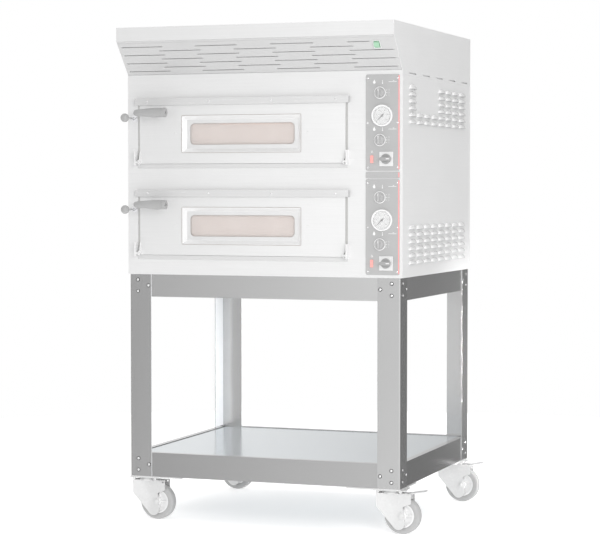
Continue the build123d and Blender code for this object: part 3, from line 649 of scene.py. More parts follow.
def make_tyre():
    """A tyre about Z: rounded shoulders and two shallow grooves in the tread."""
    half, inner, bend = TYRE_W / 2, RIM_R + 0.0001, 0.006
    shoulder = arc(bend, bend, 90, 0, 6, WHEEL_R - bend, half - bend)
    groove = [(WHEEL_R, 0.0065), (WHEEL_R - 0.0008, 0.0059), (WHEEL_R - 0.0008, 0.0051), (WHEEL_R, 0.0045)]
    upper = [(inner, half - 0.002), (inner + 0.002, half)] + shoulder + groove
    return turned("tyre", upper + [(r, -h) for r, h in reversed(upper)])


def make_rim():
    """A moulded rim about Z: dished web with ribs, a hub, and a lip each side of the tyre's seat."""
    lip, web, hub = 0.014, 0.003, 0.019
    upper = [(0.00505, hub), (0.0135, hub), (0.0155, hub - 0.002), (0.0165, web + 0.002), (0.019, web),
             (RIM_R - 0.008, web), (RIM_R - 0.006, web + 0.002), (RIM_R - 0.0052, lip), (RIM_R - 0.0005, lip),
             (RIM_R, lip - 0.0005)]
    wheel = turned("rim", upper + [(r, -h) for r, h in reversed(upper)])
    ribs = []
    for step in range(sizes().rim_ribs):
        for side in (-1, 1):
            rib = box_piece("rib", (0.014, -0.0016, 0), (RIM_R - 0.0058, 0.0016, 0.0135))
            edit(rib)
            select_faces(rib, upward)
            bpy.ops.mesh.inset(thickness=0.0005)
            bpy.ops.transform.resize(value=(1, 0.6, 1))
            done()
            turn = Matrix.Rotation(math.tau * step / sizes().rim_ribs, 4, "Z")
            place(rib, turn @ Matrix.Scale(side, 4, (0, 0, 1)))
            face_out(rib)
            ribs.append(rib)
    wheel = joined("rim", [wheel] + ribs)
    smooth(wheel, 35)
    return wheel


def make_nut(across, height, thread):
    """A hexagon nut on +Z with chamfered corners and the domed end of its bolt."""
    nut = disc("nut", (0, 0, 0), across / 2, height, vertices=6)
    edit(nut, everything=False)
    select_faces(nut, upward)
    bpy.ops.mesh.inset(thickness=across * 0.07)
    bpy.ops.transform.translate(value=(0, 0, across * 0.03))
    bpy.ops.mesh.inset(thickness=across * 0.16)
    done()
    end = disc("bolt_end", (0, 0, 0), thread / 2, height * 1.5, vertices=16)
    edit(end, everything=False)
    select_faces(end, upward)
    bpy.ops.mesh.inset(thickness=thread * 0.12)
    bpy.ops.transform.translate(value=(0, 0, thread * 0.08))
    done()
    made = joined("nut", [nut, end])
    ease(made, 0.0003, segments=1)
    return made


def make_skirt(x, y, name):
    """The pressed apron that joins a fork's legs in front, bulging below the ball race."""
    z_top, z_low = high(f"castor_fork_{name}").z - 0.0042, 0.088
    x0 = x - 0.0450
    skirt = box_piece("skirt", (x0, y - LEG_OUT, z_low), (x0 + 0.0028, y + LEG_OUT, z_top))
    edit(skirt)
    bpy.ops.mesh.subdivide(number_cuts=5)
    done()
    for vertex in skirt.data.vertices:
        drop = (z_top - vertex.co.z) / (z_top - z_low)
        across = (vertex.co.y - y) / LEG_OUT
        vertex.co.x += 0.004 * drop * drop - 0.009 * (1 - across * across) * (1 - drop)
        if drop > 0.4:
            vertex.co.z += 0.014 * (1 - across * across) * (drop - 0.4) / 0.6
    ease(skirt, 0.0006)
    return skirt


def flare(fork, x, y):
    """Crease both legs of a fork below the kingpin and set their front halves a little outwards."""
    edit(fork)
    bpy.ops.mesh.bisect(plane_co=(x, 0, 0), plane_no=(1, 0, 0))
    done()
    for vertex in fork.data.vertices:
        if vertex.co.x < x and abs(vertex.co.y - y) > 0.0195:
            vertex.co.y += math.copysign(0.14 * (x - vertex.co.x), vertex.co.y - y)


def make_castors():
    tyre, rim = make_tyre(), make_rim()
    smooth(tyre, 50)
    nut = make_nut(0.017, 0.0065, 0.010)
    eased("castor_heads", mat("zinc"), width=0.0009)
    for name in CORNERS:
        fork, wheel = f"castor_fork_{name}", f"castor_wheel_{name}"
        hub = middle(wheel)
        spun = facing(hub)
        piece(copied(tyre, spun, f"tyre_{name}"), f"wheel_{name}", "castor_rubber", mat("rubber"), wheel)
        piece(copied(rim, spun, f"rim_{name}"), f"wheel_{name}", "castor_zinc", mat("rim"))
        swivel = Vector((hub.x - 0.04, hub.y, 0))
        eased(fork, mat("zinc"), width=0.0009, shape=lambda thing: flare(thing, swivel.x + 0.004, swivel.y))
        skirt = make_skirt(swivel.x, swivel.y, name)
        skirt.name = f"fork_apron_{name}"
        piece(skirt, f"castor_{name}", "castor_zinc", mat("zinc"))
        nuts = [copied(nut, facing((hub.x, hub.y + side * (LEG_OUT + 0.0002), hub.z),
                                   Matrix.Rotation(math.radians(-90 * side), 4, "X"))) for side in (-1, 1)]
        piece(joined(f"axle_nuts_{name}", nuts), f"castor_{name}", "castor_zinc", mat("zinc"))
        if name.endswith("right"):
            make_pedal(name)
    for template in (tyre, rim, nut):
        bpy.data.objects.remove(template)


def make_pedal(name):
    """The brake pedal, with raised ribs across its toe for grip."""
    node = f"brake_pedal_{name}"
    eased(node, mat("zinc"), width=0.0007)
    lo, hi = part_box(node)
    y, toe_x, toe_z = (lo.y + hi.y) / 2, hi.x, hi.z
    rib = box_piece("rib", (-0.0009, -0.015, -0.0005), (0.0009, 0.015, 0.0012))
    taper(rib, 0.5, 0.96)
    places = [Matrix.Translation((toe_x - 0.004 - step * 0.0045, y, toe_z - 0.0012 - step * 0.00077))
              for step in range(5)]
    ribs = scattered(f"pedal_ribs_{name}", rib, places)
    smooth(ribs, 30)
    piece(ribs, f"pedal_{name}", "castor_zinc", mat("zinc"))


# ---- casing ---------------------------------------------------------------------------
SHEET = 0.0015
OPENING_HALF_W = 0.3855
LOUVRE_HALF_W = 0.0385


def door_openings():
    """Low and high corners, in x and z, of the two openings in the front panel."""
    for deck in DECKS:
        lo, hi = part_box(f"door_skin_{deck}")
        yield DOOR_X - OPENING_HALF_W, lo.z, DOOR_X + OPENING_HALF_W, hi.z + 0.004


def cut_sheet(name, lo, hi, holes, depth=0):
    """A flat sheet in XZ at lo.y with oblong holes, whose edges are folded back by a depth."""
    corners = [(lo.x, lo.y, lo.z), (hi.x, lo.y, lo.z), (hi.x, lo.y, hi.z), (lo.x, lo.y, hi.z)]
    thing = from_outline(name, corners, faces=[(0, 1, 2, 3)])
    for x0, z0, x1, z1 in holes:
        for point, normal in (((x0, 0, 0), (1, 0, 0)), ((x1, 0, 0), (1, 0, 0)),
                              ((0, 0, z0), (0, 0, 1)), ((0, 0, z1), (0, 0, 1))):
            edit(thing)
            bpy.ops.mesh.bisect(plane_co=point, plane_no=normal)
            done()
    edit(thing, everything=False)
    select_faces(thing, lambda c, n: any(x0 < c.x < x1 and z0 < c.z < z1 for x0, z0, x1, z1 in holes))
    if depth:
        bpy.ops.mesh.extrude_region_move(TRANSFORM_OT_translate={"value": (0, depth, 0)})
    bpy.ops.mesh.delete(type="FACE")
    done()
    face_out(thing)
    if max(thing.data.polygons, key=lambda face: face.area).normal.y > 0:
        edit(thing)
        bpy.ops.mesh.flip_normals()
        done()
    modify(thing, "SOLIDIFY", thickness=SHEET, offset=-1)
    ease(thing, 0.0005)
    return thing


def make_front_panel():
    """One sheet with two openings, whose edges are folded back round the doors."""
    lo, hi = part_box("front_panel")
    thing = cut_sheet("front_sheet", lo, hi, list(door_openings()), depth=hi.y - lo.y)
    piece(thing, "oven", "casing_steel", mat("casing_front"), "front_panel")


def make_corner_trims():
    """Folded strips that cover the side panels' front and back edges."""
    strips = []
    for side, turn in (("left", -1), ("right", 1)):
        lo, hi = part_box(f"side_panel_{side}")
        face = lo.x if side == "left" else hi.x
        for y0, y1 in ((lo.y, lo.y + 0.022), (hi.y - 0.012, hi.y)):
            inner, outer = sorted((face - turn * 0.0002, face + turn * 0.0009))
            strips.append(eased_box("trim", (inner, y0, lo.z), (outer, y1, hi.z), 0.0004))
    piece(joined("corner_trims", strips), "oven", "casing_steel", mat("casing_side"))


def make_gaskets():
    """A woven glass-fibre strip all round each opening, which the closed door's skin lies in front of."""
    side, top, bottom = 0.0135, 0.0120, 0.0065
    front, back = FRONT + 0.0004, FRONT + 0.0180
    strips = []
    for x0, z0, x1, z1 in door_openings():
        for low_x, low_z, high_x, high_z in ((x0, z0, x0 + side, z1), (x1 - side, z0, x1, z1),
                                             (x0 + side, z0, x1 - side, z0 + bottom),
                                             (x0 + side, z1 - top, x1 - side, z1)):
            strips.append(eased_box("strip", (low_x, front, low_z), (high_x, back, high_z), 0.0012, 3))
    piece(joined("door_gaskets", strips), "oven", "casing_steel", mat("gasket"))


def make_lintels():
    """A hollow folded channel over each door, and a flat sill under it."""
    rails = []
    for x0, z0, x1, z1 in door_openings():
        z = z1 - 0.004
        rail = box_piece("lintel", (x0 - 0.006, low("door_lintels").y, z), (x1 + 0.006, FRONT, z + 0.024))
        edit(rail, everything=False)
        select_faces(rail, lambda centre, normal: normal.y > 0.9 or abs(normal.x) > 0.9)
        bpy.ops.mesh.delete(type="FACE")
        done()
        modify(rail, "SOLIDIFY", thickness=SHEET, offset=-1)
        ease(rail, 0.0007, segments=3)
        sill = eased_box("sill", (x0, FRONT - 0.003, z0 - 0.012), (x1, FRONT, z0 + 0.0022), 0.0008, 3)
        rails += [rail, sill]
    piece(joined("lintels", rails), "oven", "casing_steel", mat("lintel"), "door_lintels")


def make_casing():
    make_front_panel()
    make_gaskets()
    eased("back_panel", mat("casing_front"))
    make_lintels()
    make_corner_trims()
    keep_node("casing_decks", mat("casing_side"))


def louvre_places(side):
    """Middles of the louvres of one side, worked out from the panel's own box."""
    lo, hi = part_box(f"side_panel_{side}")
    x = lo.x if side == "left" else hi.x
    groups = ((lo.z + 0.046, 0.0235), (lo.z + 0.5195, 0.0232))
    for group, (z0, pitch) in enumerate(groups):
        for row in range(6):
            for column in range(8):
                plain = side == "right" and group and 2 <= row <= 5 and 1 <= column <= 3
                if not plain:
                    yield Vector((x, (column - 3.5) * 0.088, z0 + row * pitch))


def make_louvre():
    """One eyebrow louvre on +X, open at its lower edge: a quarter of a long flat bead, 0.8 mm thick."""
    bpy.ops.mesh.primitive_uv_sphere_add(segments=12, ring_count=8, radius=1,
                                         rotation=(math.radians(90), 0, 0))
    hood = bpy.context.object
    settle(hood)
    hood.scale = (sizes().louvre_depth, LOUVRE_HALF_W, sizes().louvre_height)
    settle(hood)
    for normal in ((1, 0, 0), (0, 0, 1)):
        edit(hood)
        bpy.ops.mesh.bisect(plane_co=(0, 0, 0), plane_no=normal, clear_inner=True)
        done()
    for vertex in hood.data.vertices:
        share = abs(vertex.co.y) / LOUVRE_HALF_W
        vertex.co.y = math.copysign(LOUVRE_HALF_W * share ** 0.6, vertex.co.y)
    modify(hood, "SOLIDIFY", thickness=0.0008, offset=-1)
    smooth(hood, 60)
    return hood


def make_louvres():
    for side, turn in (("left", Matrix.Rotation(math.pi, 4, "Z")), ("right", Matrix.Identity(4))):
        keep_node(f"side_panel_{side}", mat("casing_side"))
        hoods = [Matrix.Translation(spot - Vector((0, 0, 0.0022))) @ turn for spot in louvre_places(side)]
        made = scattered(f"louvres_{side}", make_louvre(), hoods)
        # Louvres in a lighter copy of the casing steel: painted highlight.
        piece(made, "oven", "casing_steel", mat("louvre"))


def make_chambers():
    eased("baking_chambers", mat("chamber"), width=0.0006)
    eased("baking_stones", mat("stone"), width=0.0015)
    eased("heating_elements", mat("element"), width=0.0006)
    keep_node("insulation", mat("wool"))


# ---- doors ----------------------------------------------------------------------------
EAR_R = 0.009
GLASS_HALF_W, GLASS_HALF_H = 0.1917, 0.0367            # the opening of the window frame


def make_rivet(radius, height):
    """A low domed head on +Z."""
    outline = [(0, 0)] + arc(radius, height, 0, 72, 5) + [(0, height)]
    return lathed("rivet", outline, Matrix.Identity(4), 50, steps=16)


def bead(name, half_w, half_h, corner, width, thickness):
    """A flat rounded-rectangle strip about the origin in XY, standing on it."""
    points = []
    for quarter, (sx, sy) in enumerate(((1, 1), (-1, 1), (-1, -1), (1, -1))):
        points += arc(corner, corner, 90 * quarter, 90 * quarter + 90, 7,
                      sx * (half_w - corner), sy * (half_h - corner))
    strip = from_outline(name, [(x, y, 0) for x, y in points], faces=[tuple(range(len(points)))])
    edit(strip)
    bpy.ops.mesh.inset(thickness=width)
    bpy.ops.mesh.delete(type="FACE")
    done()
    edit(strip)
    bpy.ops.mesh.extrude_region_move(TRANSFORM_OT_translate={"value": (0, 0, thickness)})
    done()
    face_out(strip)
    ease(strip, thickness * 0.3)
    return strip


def make_seals(deck, lo, hi):
    """The thin dark seal round the window frame, and the one round the glass inside it."""
    centre = (lo + hi) / 2
    glass = low(f"door_glass_{deck}").y
    past = 0.0012
    outer = bead("outer_seal", (hi.x - lo.x) / 2 + past, (hi.z - lo.z) / 2 + past, 0.004, 0.0016, 0.0008)
    place(outer, facing((centre.x, lo.y, centre.z)))
    inner = bead("inner_seal", GLASS_HALF_W, GLASS_HALF_H, 0.015, 0.0009, 0.0030)
    place(inner, facing((centre.x, glass, centre.z)))
    piece(joined(f"window_seals_{deck}", [outer, inner]), f"door_{deck}", "screw_zinc", mat("seal"))


def make_skin(deck):
    """A door's outer sheet with its window hole, and the hinge ears at its lower corners."""
    node = f"door_skin_{deck}"
    lo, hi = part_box(node)
    front, hinge = low(f"door_window_frame_{deck}").y, Vector((0, lo.y + EAR_R, lo.z + EAR_R))
    frame_lo, frame_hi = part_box(f"door_window_frame_{deck}")
    sheet = cut_sheet("skin", Vector((lo.x, front, lo.z + 0.003)), hi,
                      [(frame_lo.x, frame_lo.z, frame_hi.x, frame_hi.z)])
    bend = [(y, -z) for y, z in arc(EAR_R, EAR_R, 70, 295, 11)]
    outline = bend + [(front - hinge.y, 0.040), (front - hinge.y, -0.004)]
    ears = []
    for x in (lo.x, hi.x - 0.003):
        ear = extruded("ear", outline, 0.003)
        turn = Matrix(((0, 0, 1, x), (1, 0, 0, hinge.y), (0, 1, 0, hinge.z), (0, 0, 0, 1)))
        place(ear, turn)
        face_out(ear)
        ease(ear, 0.0005)
        ears.append(ear)
    piece(joined(f"skin_{deck}", [sheet] + ears), f"door_{deck}", slot_of(node), mat("door"), node)


def make_doors():
    for deck in DECKS:
        make_skin(deck)
        eased(f"door_liner_{deck}", mat("casing_front"), width=0.0012)
        eased(f"door_window_frame_{deck}", mat("bright_frame"), width=0.0006, segments=3)
        eased(f"door_glass_{deck}", mat("glass"), width=0.0004)
        frame_lo, frame_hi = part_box(f"door_window_frame_{deck}")
        front, mid_z = low(f"door_window_frame_{deck}").y, (frame_lo.z + frame_hi.z) / 2
        spots = [facing((x, front - 0.0001, mid_z + 0.003)) for x in (frame_lo.x - 0.024, frame_hi.x + 0.024)]
        rivets = scattered(f"door_rivets_{deck}", make_rivet(0.003, 0.0012), spots)
        piece(rivets, f"door_{deck}", "screw_zinc", mat("door"))
        make_seals(deck, frame_lo, frame_hi)
    eased("hinge_brackets", mat("bracket"), width=0.001)


# ---- handles and vent pulls -----------------------------------------------------------
def make_grip(deck):
    """A tapered moulded grip along X, with a rounded nose and a grooved collar at its thick end."""
    node = f"door_handle_grip_{deck}"
    lo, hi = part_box(node)
    length, thick, thin, y = hi.x - lo.x, (hi.z - lo.z) / 2, 0.011, (lo.y + hi.y) / 2
    nose = arc(thin, 0.009, -90, 0, 7, 0, 0.009)
    waist = [(thin + (thick - thin) * t ** 0.7 - 0.0006 * math.sin(math.pi * t),
              0.009 + (length - 0.054) * t)
             for t in (step / 6 for step in range(1, 7))]
    collar = [(thick, length - 0.016), (thick - 0.0012, length - 0.015), (thick - 0.0012, length - 0.0115),
              (thick, length - 0.0105), (thick, length - 0.002), (thick - 0.0006, length - 0.0006),
              (thick - 0.002, length), (0.0052, length), (0.0052, length - 0.004), (0, length - 0.004)]
    grip = lathed(f"grip_{deck}", nose + waist + collar, facing((lo.x, y, middle(node).z), FACING_RIGHT),
                  closed=False)
    piece(grip, f"door_{deck}", "grip_plastic", mat("grip"), node)


def make_handles():
    turn = Matrix.Rotation(math.radians(-90), 4, "X")
    for deck in DECKS:
        make_grip(deck)
        eased(f"door_handle_stem_{deck}", mat("chrome"), width=0.0009, segments=3)
        node = f"vent_pull_{deck}"
        lo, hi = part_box(node)
        centre, ball = middle(node), (hi.z - lo.z) / 2
        y0 = lo.y + ball
        length = hi.y - y0
        matrix = facing((centre.x, y0, centre.z), turn)
        outline = arc(ball, ball, -90, 50, 15) + [(0.0075, ball * 0.92), (0.0075, ball + 0.004),
                                                  (0.0062, ball + 0.005), (0, ball + 0.005)]
        knob = lathed(f"pull_ball_{deck}", outline, matrix, 45, closed=False)
        piece(knob, f"vent_{deck}", "grip_plastic", mat("grip"), node)
        outline = [(0, 0), (0.004, 0), (0.004, length - 0.001), (0.003, length), (0, length)]
        rod = lathed(f"pull_rod_{deck}", outline, matrix, closed=False, steps=24)
        piece(rod, f"vent_{deck}", "chrome_rod", mat("chrome"))
        outline = [(0.0041, 0), (0.0115, 0), (0.0115, 0.0015), (0.0085, 0.003), (0.0065, 0.004),
                   (0.0041, 0.004)]
        bush = lathed(f"pull_bush_{deck}", outline, facing((centre.x, FRONT, centre.z)), 35, steps=32)
        piece(bush, "oven", "chrome_rod", mat("chrome"))


# ---- control panels -------------------------------------------------------------------
PRINT_T = 0.00015                 # thickness of the screen print
PANEL_HALF = 0.160                # half the height of one deck's panel
GAUGE_R = 0.036
KNOBS = [f"{end}_{deck}" for deck in DECKS for end in ("top", "bottom")]


def on_panel(x, z):
    """A matrix that stands a piece on the panels' face."""
    return facing((x, PANEL_FRONT, z))


def ink(name, shapes, material):
    """Printed marks: flat boxes drawn as (x, z, width, height, turn in degrees) on the panels' face."""
    marks = []
    for x, z, width, height, turn in shapes:
        bar = box_piece("mark", (-width / 2, -height / 2, 0), (width / 2, height / 2, PRINT_T))
        place(bar, on_panel(x, z) @ Matrix.Rotation(math.radians(turn), 4, "Z"))
        marks.append(bar)
    piece(joined(name, marks), "oven", "control_fascia", material)


def ring(name, x, z, inner, outer):
    """A printed ring on the panels' face."""
    return place(turned(name, [(inner, 0), (outer, 0), (outer, PRINT_T), (inner, PRINT_T)]), on_panel(x, z))


def fan(x, z, radius, length, width, start, stop, count):
    """Radial marks round a point, from start to stop degrees anticlockwise from +X."""
    for step in range(count):
        angle = start + (stop - start) * step / (count - 1)
        reach = radius + length / 2
        yield (x + reach * math.cos(math.radians(angle)), z + reach * math.sin(math.radians(angle)),
               length, width, angle)


def make_drop(scale):
    """A water drop outline, drawn as a small cone on a ball and pressed flat."""
    drop = turned("drop", arc(0.0026, 0.0026, -90, 30, 7) + [(0, 0.0058)], closed=False, steps=16)
    return place(drop, Matrix.Diagonal((scale, 0.06, scale, 1)))


def make_fascias():
    """The two panels and the strip between them, with their print, lamps and switch plates."""
    eased("control_panels", mat("fascia"), width=0.0005)
    lo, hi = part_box("control_panels")
    edge, width = hi.x - 0.0022, 0.0036
    stripes = [(edge, (lo.z + hi.z) / 2, width, 0.016, 0)]
    stripes += [(edge, z, width, 2 * PANEL_HALF - 0.008, 0) for z in (hi.z - PANEL_HALF, lo.z + PANEL_HALF)]
    whites, bands, icons = [], [], []
    for name in KNOBS:
        x, z = middle(f"thermostat_knob_{name}").x, middle(f"thermostat_knob_{name}").z
        bands.append(ring("ring", x, z, 0.0178, 0.0203))
        drop = make_drop(1.7)
        place(drop, Matrix.Translation((x - 0.0195, PANEL_FRONT, z + 0.0345)))
        icons.append(drop)
        whites += [(x + 0.0095, z + 0.0375, 0.0014, 0.0085, 0), (x + 0.0445, z + 0.0360, 0.0280, 0.0013, 0),
                   (x + 0.0480, z + 0.0395, 0.0050, 0.0014, 0), (x + 0.0240, z, 0.0045, 0.0013, 0)]
        whites += [(x + 0.0225, z + side * 0.0085, 0.0045, 0.0013, side * 20) for side in (1, -1)]
        bands.append(ring("bulb", x + 0.0095, z + 0.0315, 0.0004, 0.0019))
        for row, text in enumerate("123"):
            number = digits(text, 0.0068, (0, 0), 0)
            icons.append(place(number, on_panel(x + 0.0320, z - 0.009 + 0.009 * row)))
    lamp_lo, lamp_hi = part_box("pilot_lamps")
    lamp_x = (lamp_lo.x + lamp_hi.x) / 2
    for z in (lamp_lo.z + 0.0365, lamp_hi.z + 0.0115):
        bands.append(ring("mark", lamp_x, z, 0.0020, 0.0031))
        whites.append((lamp_x, z + 0.0050, 0.0010, 0.0030, 0))
    ink("fascia_stripes", stripes, mat("red_print"))
    ink("fascia_marks", whites, mat("white_print"))
    piece(joined("fascia_rings", bands), "oven", "control_fascia", mat("white_print"))
    piece(joined("fascia_icons", icons), "oven", "control_fascia", mat("white_print"))
    eased("switch_plates", mat("switch_plate"), width=0.0009)
    eased("pilot_lamps", mat("lamp"), width=0.0012, segments=3)


def make_knob(name):
    """A thermostat knob: fluted skirt, raised finger bar and a printed pointer."""
    node = f"thermostat_knob_{name}"
    lo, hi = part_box(node)
    x, z, radius = middle(node).x, middle(node).z, (hi.x - lo.x) / 2
    depth, base = PANEL_FRONT - lo.y, 0.0006
    outline = [(0, base), (radius, base), (radius, 0.003), (radius - 0.0012, 0.004),
               (radius - 0.0022, 0.0118), (radius - 0.0036, 0.013), (0, 0.0125)]
    body = turned("body", outline, closed=False, steps=64)
    edit(body, everything=False)
    select_faces(body, lambda centre, normal: abs(normal.z) < 0.5 and 0.004 < centre.z < 0.0118
                 and math.degrees(math.atan2(centre.y, centre.x)) % 22.5 < 11)
    bpy.ops.mesh.inset(thickness=0.0003, depth=-0.0007, use_individual=False)
    done()
    bar = box_piece("bar", (-0.005, 0.002 - radius, 0.0115), (0.005, radius - 0.001, depth))
    taper(bar, 0.62, 0.9)
    modify(bar, "BEVEL", width=0.0016, segments=3, limit_method="ANGLE", angle_limit=math.radians(30))
    shaft = disc("shaft", (0, 0, -0.014), 0.003, 0.0155, vertices=20)
    knob = joined(f"knob_{name}", [body, bar, shaft])
    smooth(knob, 35)
    place(knob, on_panel(x, z))
    piece(knob, f"knob_{name}", "knob_plastic", mat("knob"), node)
    line = box_piece(f"knob_line_{name}", (-0.0007, 0.004, depth - 0.0001),
                     (0.0007, radius - 0.004, depth + 0.0002))
    place(line, on_panel(x, z))
    piece(line, f"knob_{name}", "control_fascia", mat("white_print"))


def make_switch(deck):
    """A mains switch: a round boss with an oval finger bar and a pointer mark."""
    node = f"switch_knob_{deck}"
    x, z, depth = middle(node).x, middle(node).z, PANEL_FRONT - low(node).y
    boss = turned("boss", [(0, 0.0036), (0.017, 0.0036), (0.017, 0.0075), (0.0155, 0.009), (0, 0.009)],
                  closed=False, steps=48)
    bar = disc("bar", (0, 0, 0.008), 0.0065, depth - 0.008)
    for vertex in bar.data.vertices:
        vertex.co.x += math.copysign(0.0125, vertex.co.x)
    modify(bar, "BEVEL", width=0.0012, segments=3, limit_method="ANGLE", angle_limit=math.radians(40))
    knob = joined(f"mains_knob_{deck}", [boss, bar])
    smooth(knob, 35)
    place(knob, on_panel(x, z))
    piece(knob, f"mains_switch_{deck}", "knob_plastic", mat("switch_knob"), node)
    mark = box_piece(f"mains_mark_{deck}", (0.005, -0.0013, depth - 0.0001),
                     (0.0165, 0.0013, depth + 0.0002))
    place(mark, on_panel(x, z))
    piece(mark, f"mains_switch_{deck}", "control_fascia", mat("white_print"))


def make_controls():
    for name in KNOBS:
        make_knob(name)
    for deck in DECKS:
        make_switch(deck)


def gauge_pivot(deck):
    """A gauge's middle, from the box of the two cases."""
    lo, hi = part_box("gauge_cases")
    return (lo.x + hi.x) / 2, hi.z - GAUGE_R if deck == "upper" else lo.z + GAUGE_R


def make_ticks():
    """The dial's marks, every tenth one long, and its numbers."""
    marks = []
    for radius, length, width, count in ((0.0255, 0.004, 0.0011, 11), (0.0270, 0.0025, 0.0006, 51)):
        for x, y, long, wide, turn in fan(0, 0, radius, length, width, -45, 225, count):
            bar = box_piece("tick", (-long / 2, -wide / 2, 0.0034), (long / 2, wide / 2, 0.0036))
            place(bar, Matrix.Translation((x, y, 0)) @ Matrix.Rotation(math.radians(turn), 4, "Z"))
            marks.append(bar)
    for step, spot in enumerate(arc(0.0195, 0.0195, 225, -45, 6)):
        marks.append(digits(str(step * 100), 0.0042, spot))
    return joined("ticks", marks)


def make_gauges():
    glass_r = GAUGE_R - 0.0044
    case = [(GAUGE_R - 0.0045, 0.003), (GAUGE_R - 0.0045, 0.0085), (GAUGE_R - 0.003, 0.0098),
            (GAUGE_R - 0.0012, 0.0098), (GAUGE_R, 0.0086), (GAUGE_R, 0), (0.004, 0), (0.004, -0.01),
            (0.00105, -0.01), (0.00105, 0.003)]
    card = [(0.00105, 0.003), (GAUGE_R - 0.0047, 0.003), (GAUGE_R - 0.0047, 0.0034), (0.00105, 0.0034)]
    cover = [(0, 0.0082), (glass_r, 0.0072), (glass_r, 0.0078), (0, 0.0090)]
    for deck in DECKS:
        matrix = on_panel(*gauge_pivot(deck))
        nodes = ("gauge_cases",) if deck == "upper" else ()
        piece(lathed(f"gauge_bezel_{deck}", case, matrix, 35), "oven", "gauge_enamel", mat("bezel"), *nodes)
        piece(place(turned(f"gauge_card_{deck}", card), matrix), "oven", "gauge_enamel", mat("dial"))
        ticks = place(make_ticks(), matrix)
        ticks.name = f"gauge_ticks_{deck}"
        piece(ticks, "oven", "gauge_enamel", mat("grey_print"))
        eased(f"gauge_needle_{deck}", mat("needle"), width=0.0002, segments=1)
        lens_piece = lathed(f"gauge_lens_{deck}", cover, matrix, closed=False)
        piece(lens_piece, "oven", "gauge_enamel", mat("lens_glass"))


def digits(text, size, spot, level=0.0035):
    """A number lying in XY at a level, centred on a spot."""
    bpy.ops.object.text_add()
    label = bpy.context.object
    label.data.body = text
    label.data.size = size
    label.data.align_x, label.data.align_y = "CENTER", "CENTER"
    label.data.extrude = 0.0001
    label.data.resolution_u = 3
    select_only(label)
    bpy.ops.object.convert(target="MESH")
    return place(label, Matrix.Translation((spot[0], spot[1], level)))


# ---- hood -----------------------------------------------------------------------------
def make_hood():
    eased("hood_shell", mat("hood_front"), width=0.0009, segments=3)
    eased("hood_cheeks", mat("casing_side"), width=0.0006)
    # The grille and its folds take a darker copy of the casing steel: painted shade.
    keep_node("hood_grille", mat("grille"))
    eased("hood_rocker", mat("rocker"), width=0.0009, segments=3)
    make_filters()


def sloping(name, x0, x1, start, stop, behind, thickness):
    """A thin panel along the hood's slope, from start to stop as shares of the grille's height."""
    lo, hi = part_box("hood_grille")
    rise, out = hi.z - lo.z, hi.y - lo.y
    corners = [(x, hi.y - out * share + behind, lo.z + rise * share + behind * 0.8)
               for x, share in ((x0, start), (x1, start), (x1, stop), (x0, stop))]
    panel = from_outline(name, corners, faces=[(0, 1, 2, 3)])
    modify(panel, "SOLIDIFY", thickness=thickness, offset=0)
    ease(panel, 0.0003)
    return panel


def make_filters():
    """Knitted grease filters behind the grille and the cheeks' slots, and the grille's folded edges."""
    lo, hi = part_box("hood_grille")
    rocker_lo, rocker_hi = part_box("hood_rocker")
    left, right = rocker_lo.x - 0.006, rocker_hi.x + 0.006
    below = (rocker_lo.z - 0.012 - lo.z) / (hi.z - lo.z)
    panels = [sloping("filter", x0, x1, 0.01, stop, 0.0040, 0.0020)
              for x0, x1, stop in ((lo.x + 0.012, left, 1), (left, right, below), (right, hi.x - 0.012, 1))]
    cheek_lo, cheek_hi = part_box("hood_cheeks")
    for side in (-1, 1):
        x = side * (cheek_hi.x - 0.0055)
        panels.append(eased_box("strip", (x - 0.001, -0.380, cheek_lo.z + 0.004),
                                (x + 0.001, 0.400, cheek_lo.z + 0.045), 0.0004))
    piece(joined("grease_filters", panels), "oven", "casing_steel", mat("filter"))
    folds = [sloping("fold", lo.x, hi.x, start, stop, 0.0005, 0.0012)
             for start, stop in ((0.992, 1.052), (-0.02, 0.008))]
    piece(joined("grille_folds", folds), "oven", "casing_steel", mat("grille"))


def make_back():
    lo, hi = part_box("flue_collar")
    centre = (lo + hi) / 2
    radius, height = 0.0745, hi.z - lo.z
    outline = [(radius - 0.0015, 0), (radius + 0.015, 0), (radius + 0.015, 0.0012), (radius + 0.0015, 0.0012),
               (radius, 0.003), (radius, height * 0.55), (radius + 0.0012, height * 0.58),
               (radius + 0.0012, height * 0.64), (radius, height * 0.67), (radius, height),
               (radius - 0.0015, height)]
    collar = lathed("flue_spigot", outline, Matrix.Translation((centre.x, centre.y, lo.z)), 35, steps=64)
    piece(collar, "oven", "galvanised", mat("collar"), "flue_collar")
    eased("cable_glands", mat("gland"), width=0.0012, segments=3)


# ---- fasteners ------------------------------------------------------------------------
def make_button_screw(radius, height):
    """A domed screw head on +Z with a round socket."""
    dome = arc(radius, 0.65 * height, 0, 56, 5, 0, 0.35 * height)
    socket = radius * 0.45
    head = turned("screw", [(0, 0), (radius, 0)] + dome + [(socket, height)], closed=False, steps=24)
    edit(head, everything=False)
    bpy.ops.mesh.select_mode(type="EDGE")
    bpy.ops.mesh.select_non_manifold()
    bpy.ops.mesh.extrude_region_move(TRANSFORM_OT_translate={"value": (0, 0, -height * 0.6)})
    bpy.ops.mesh.edge_face_add()
    done()
    face_out(head)
    smooth(head, 35)
    return head


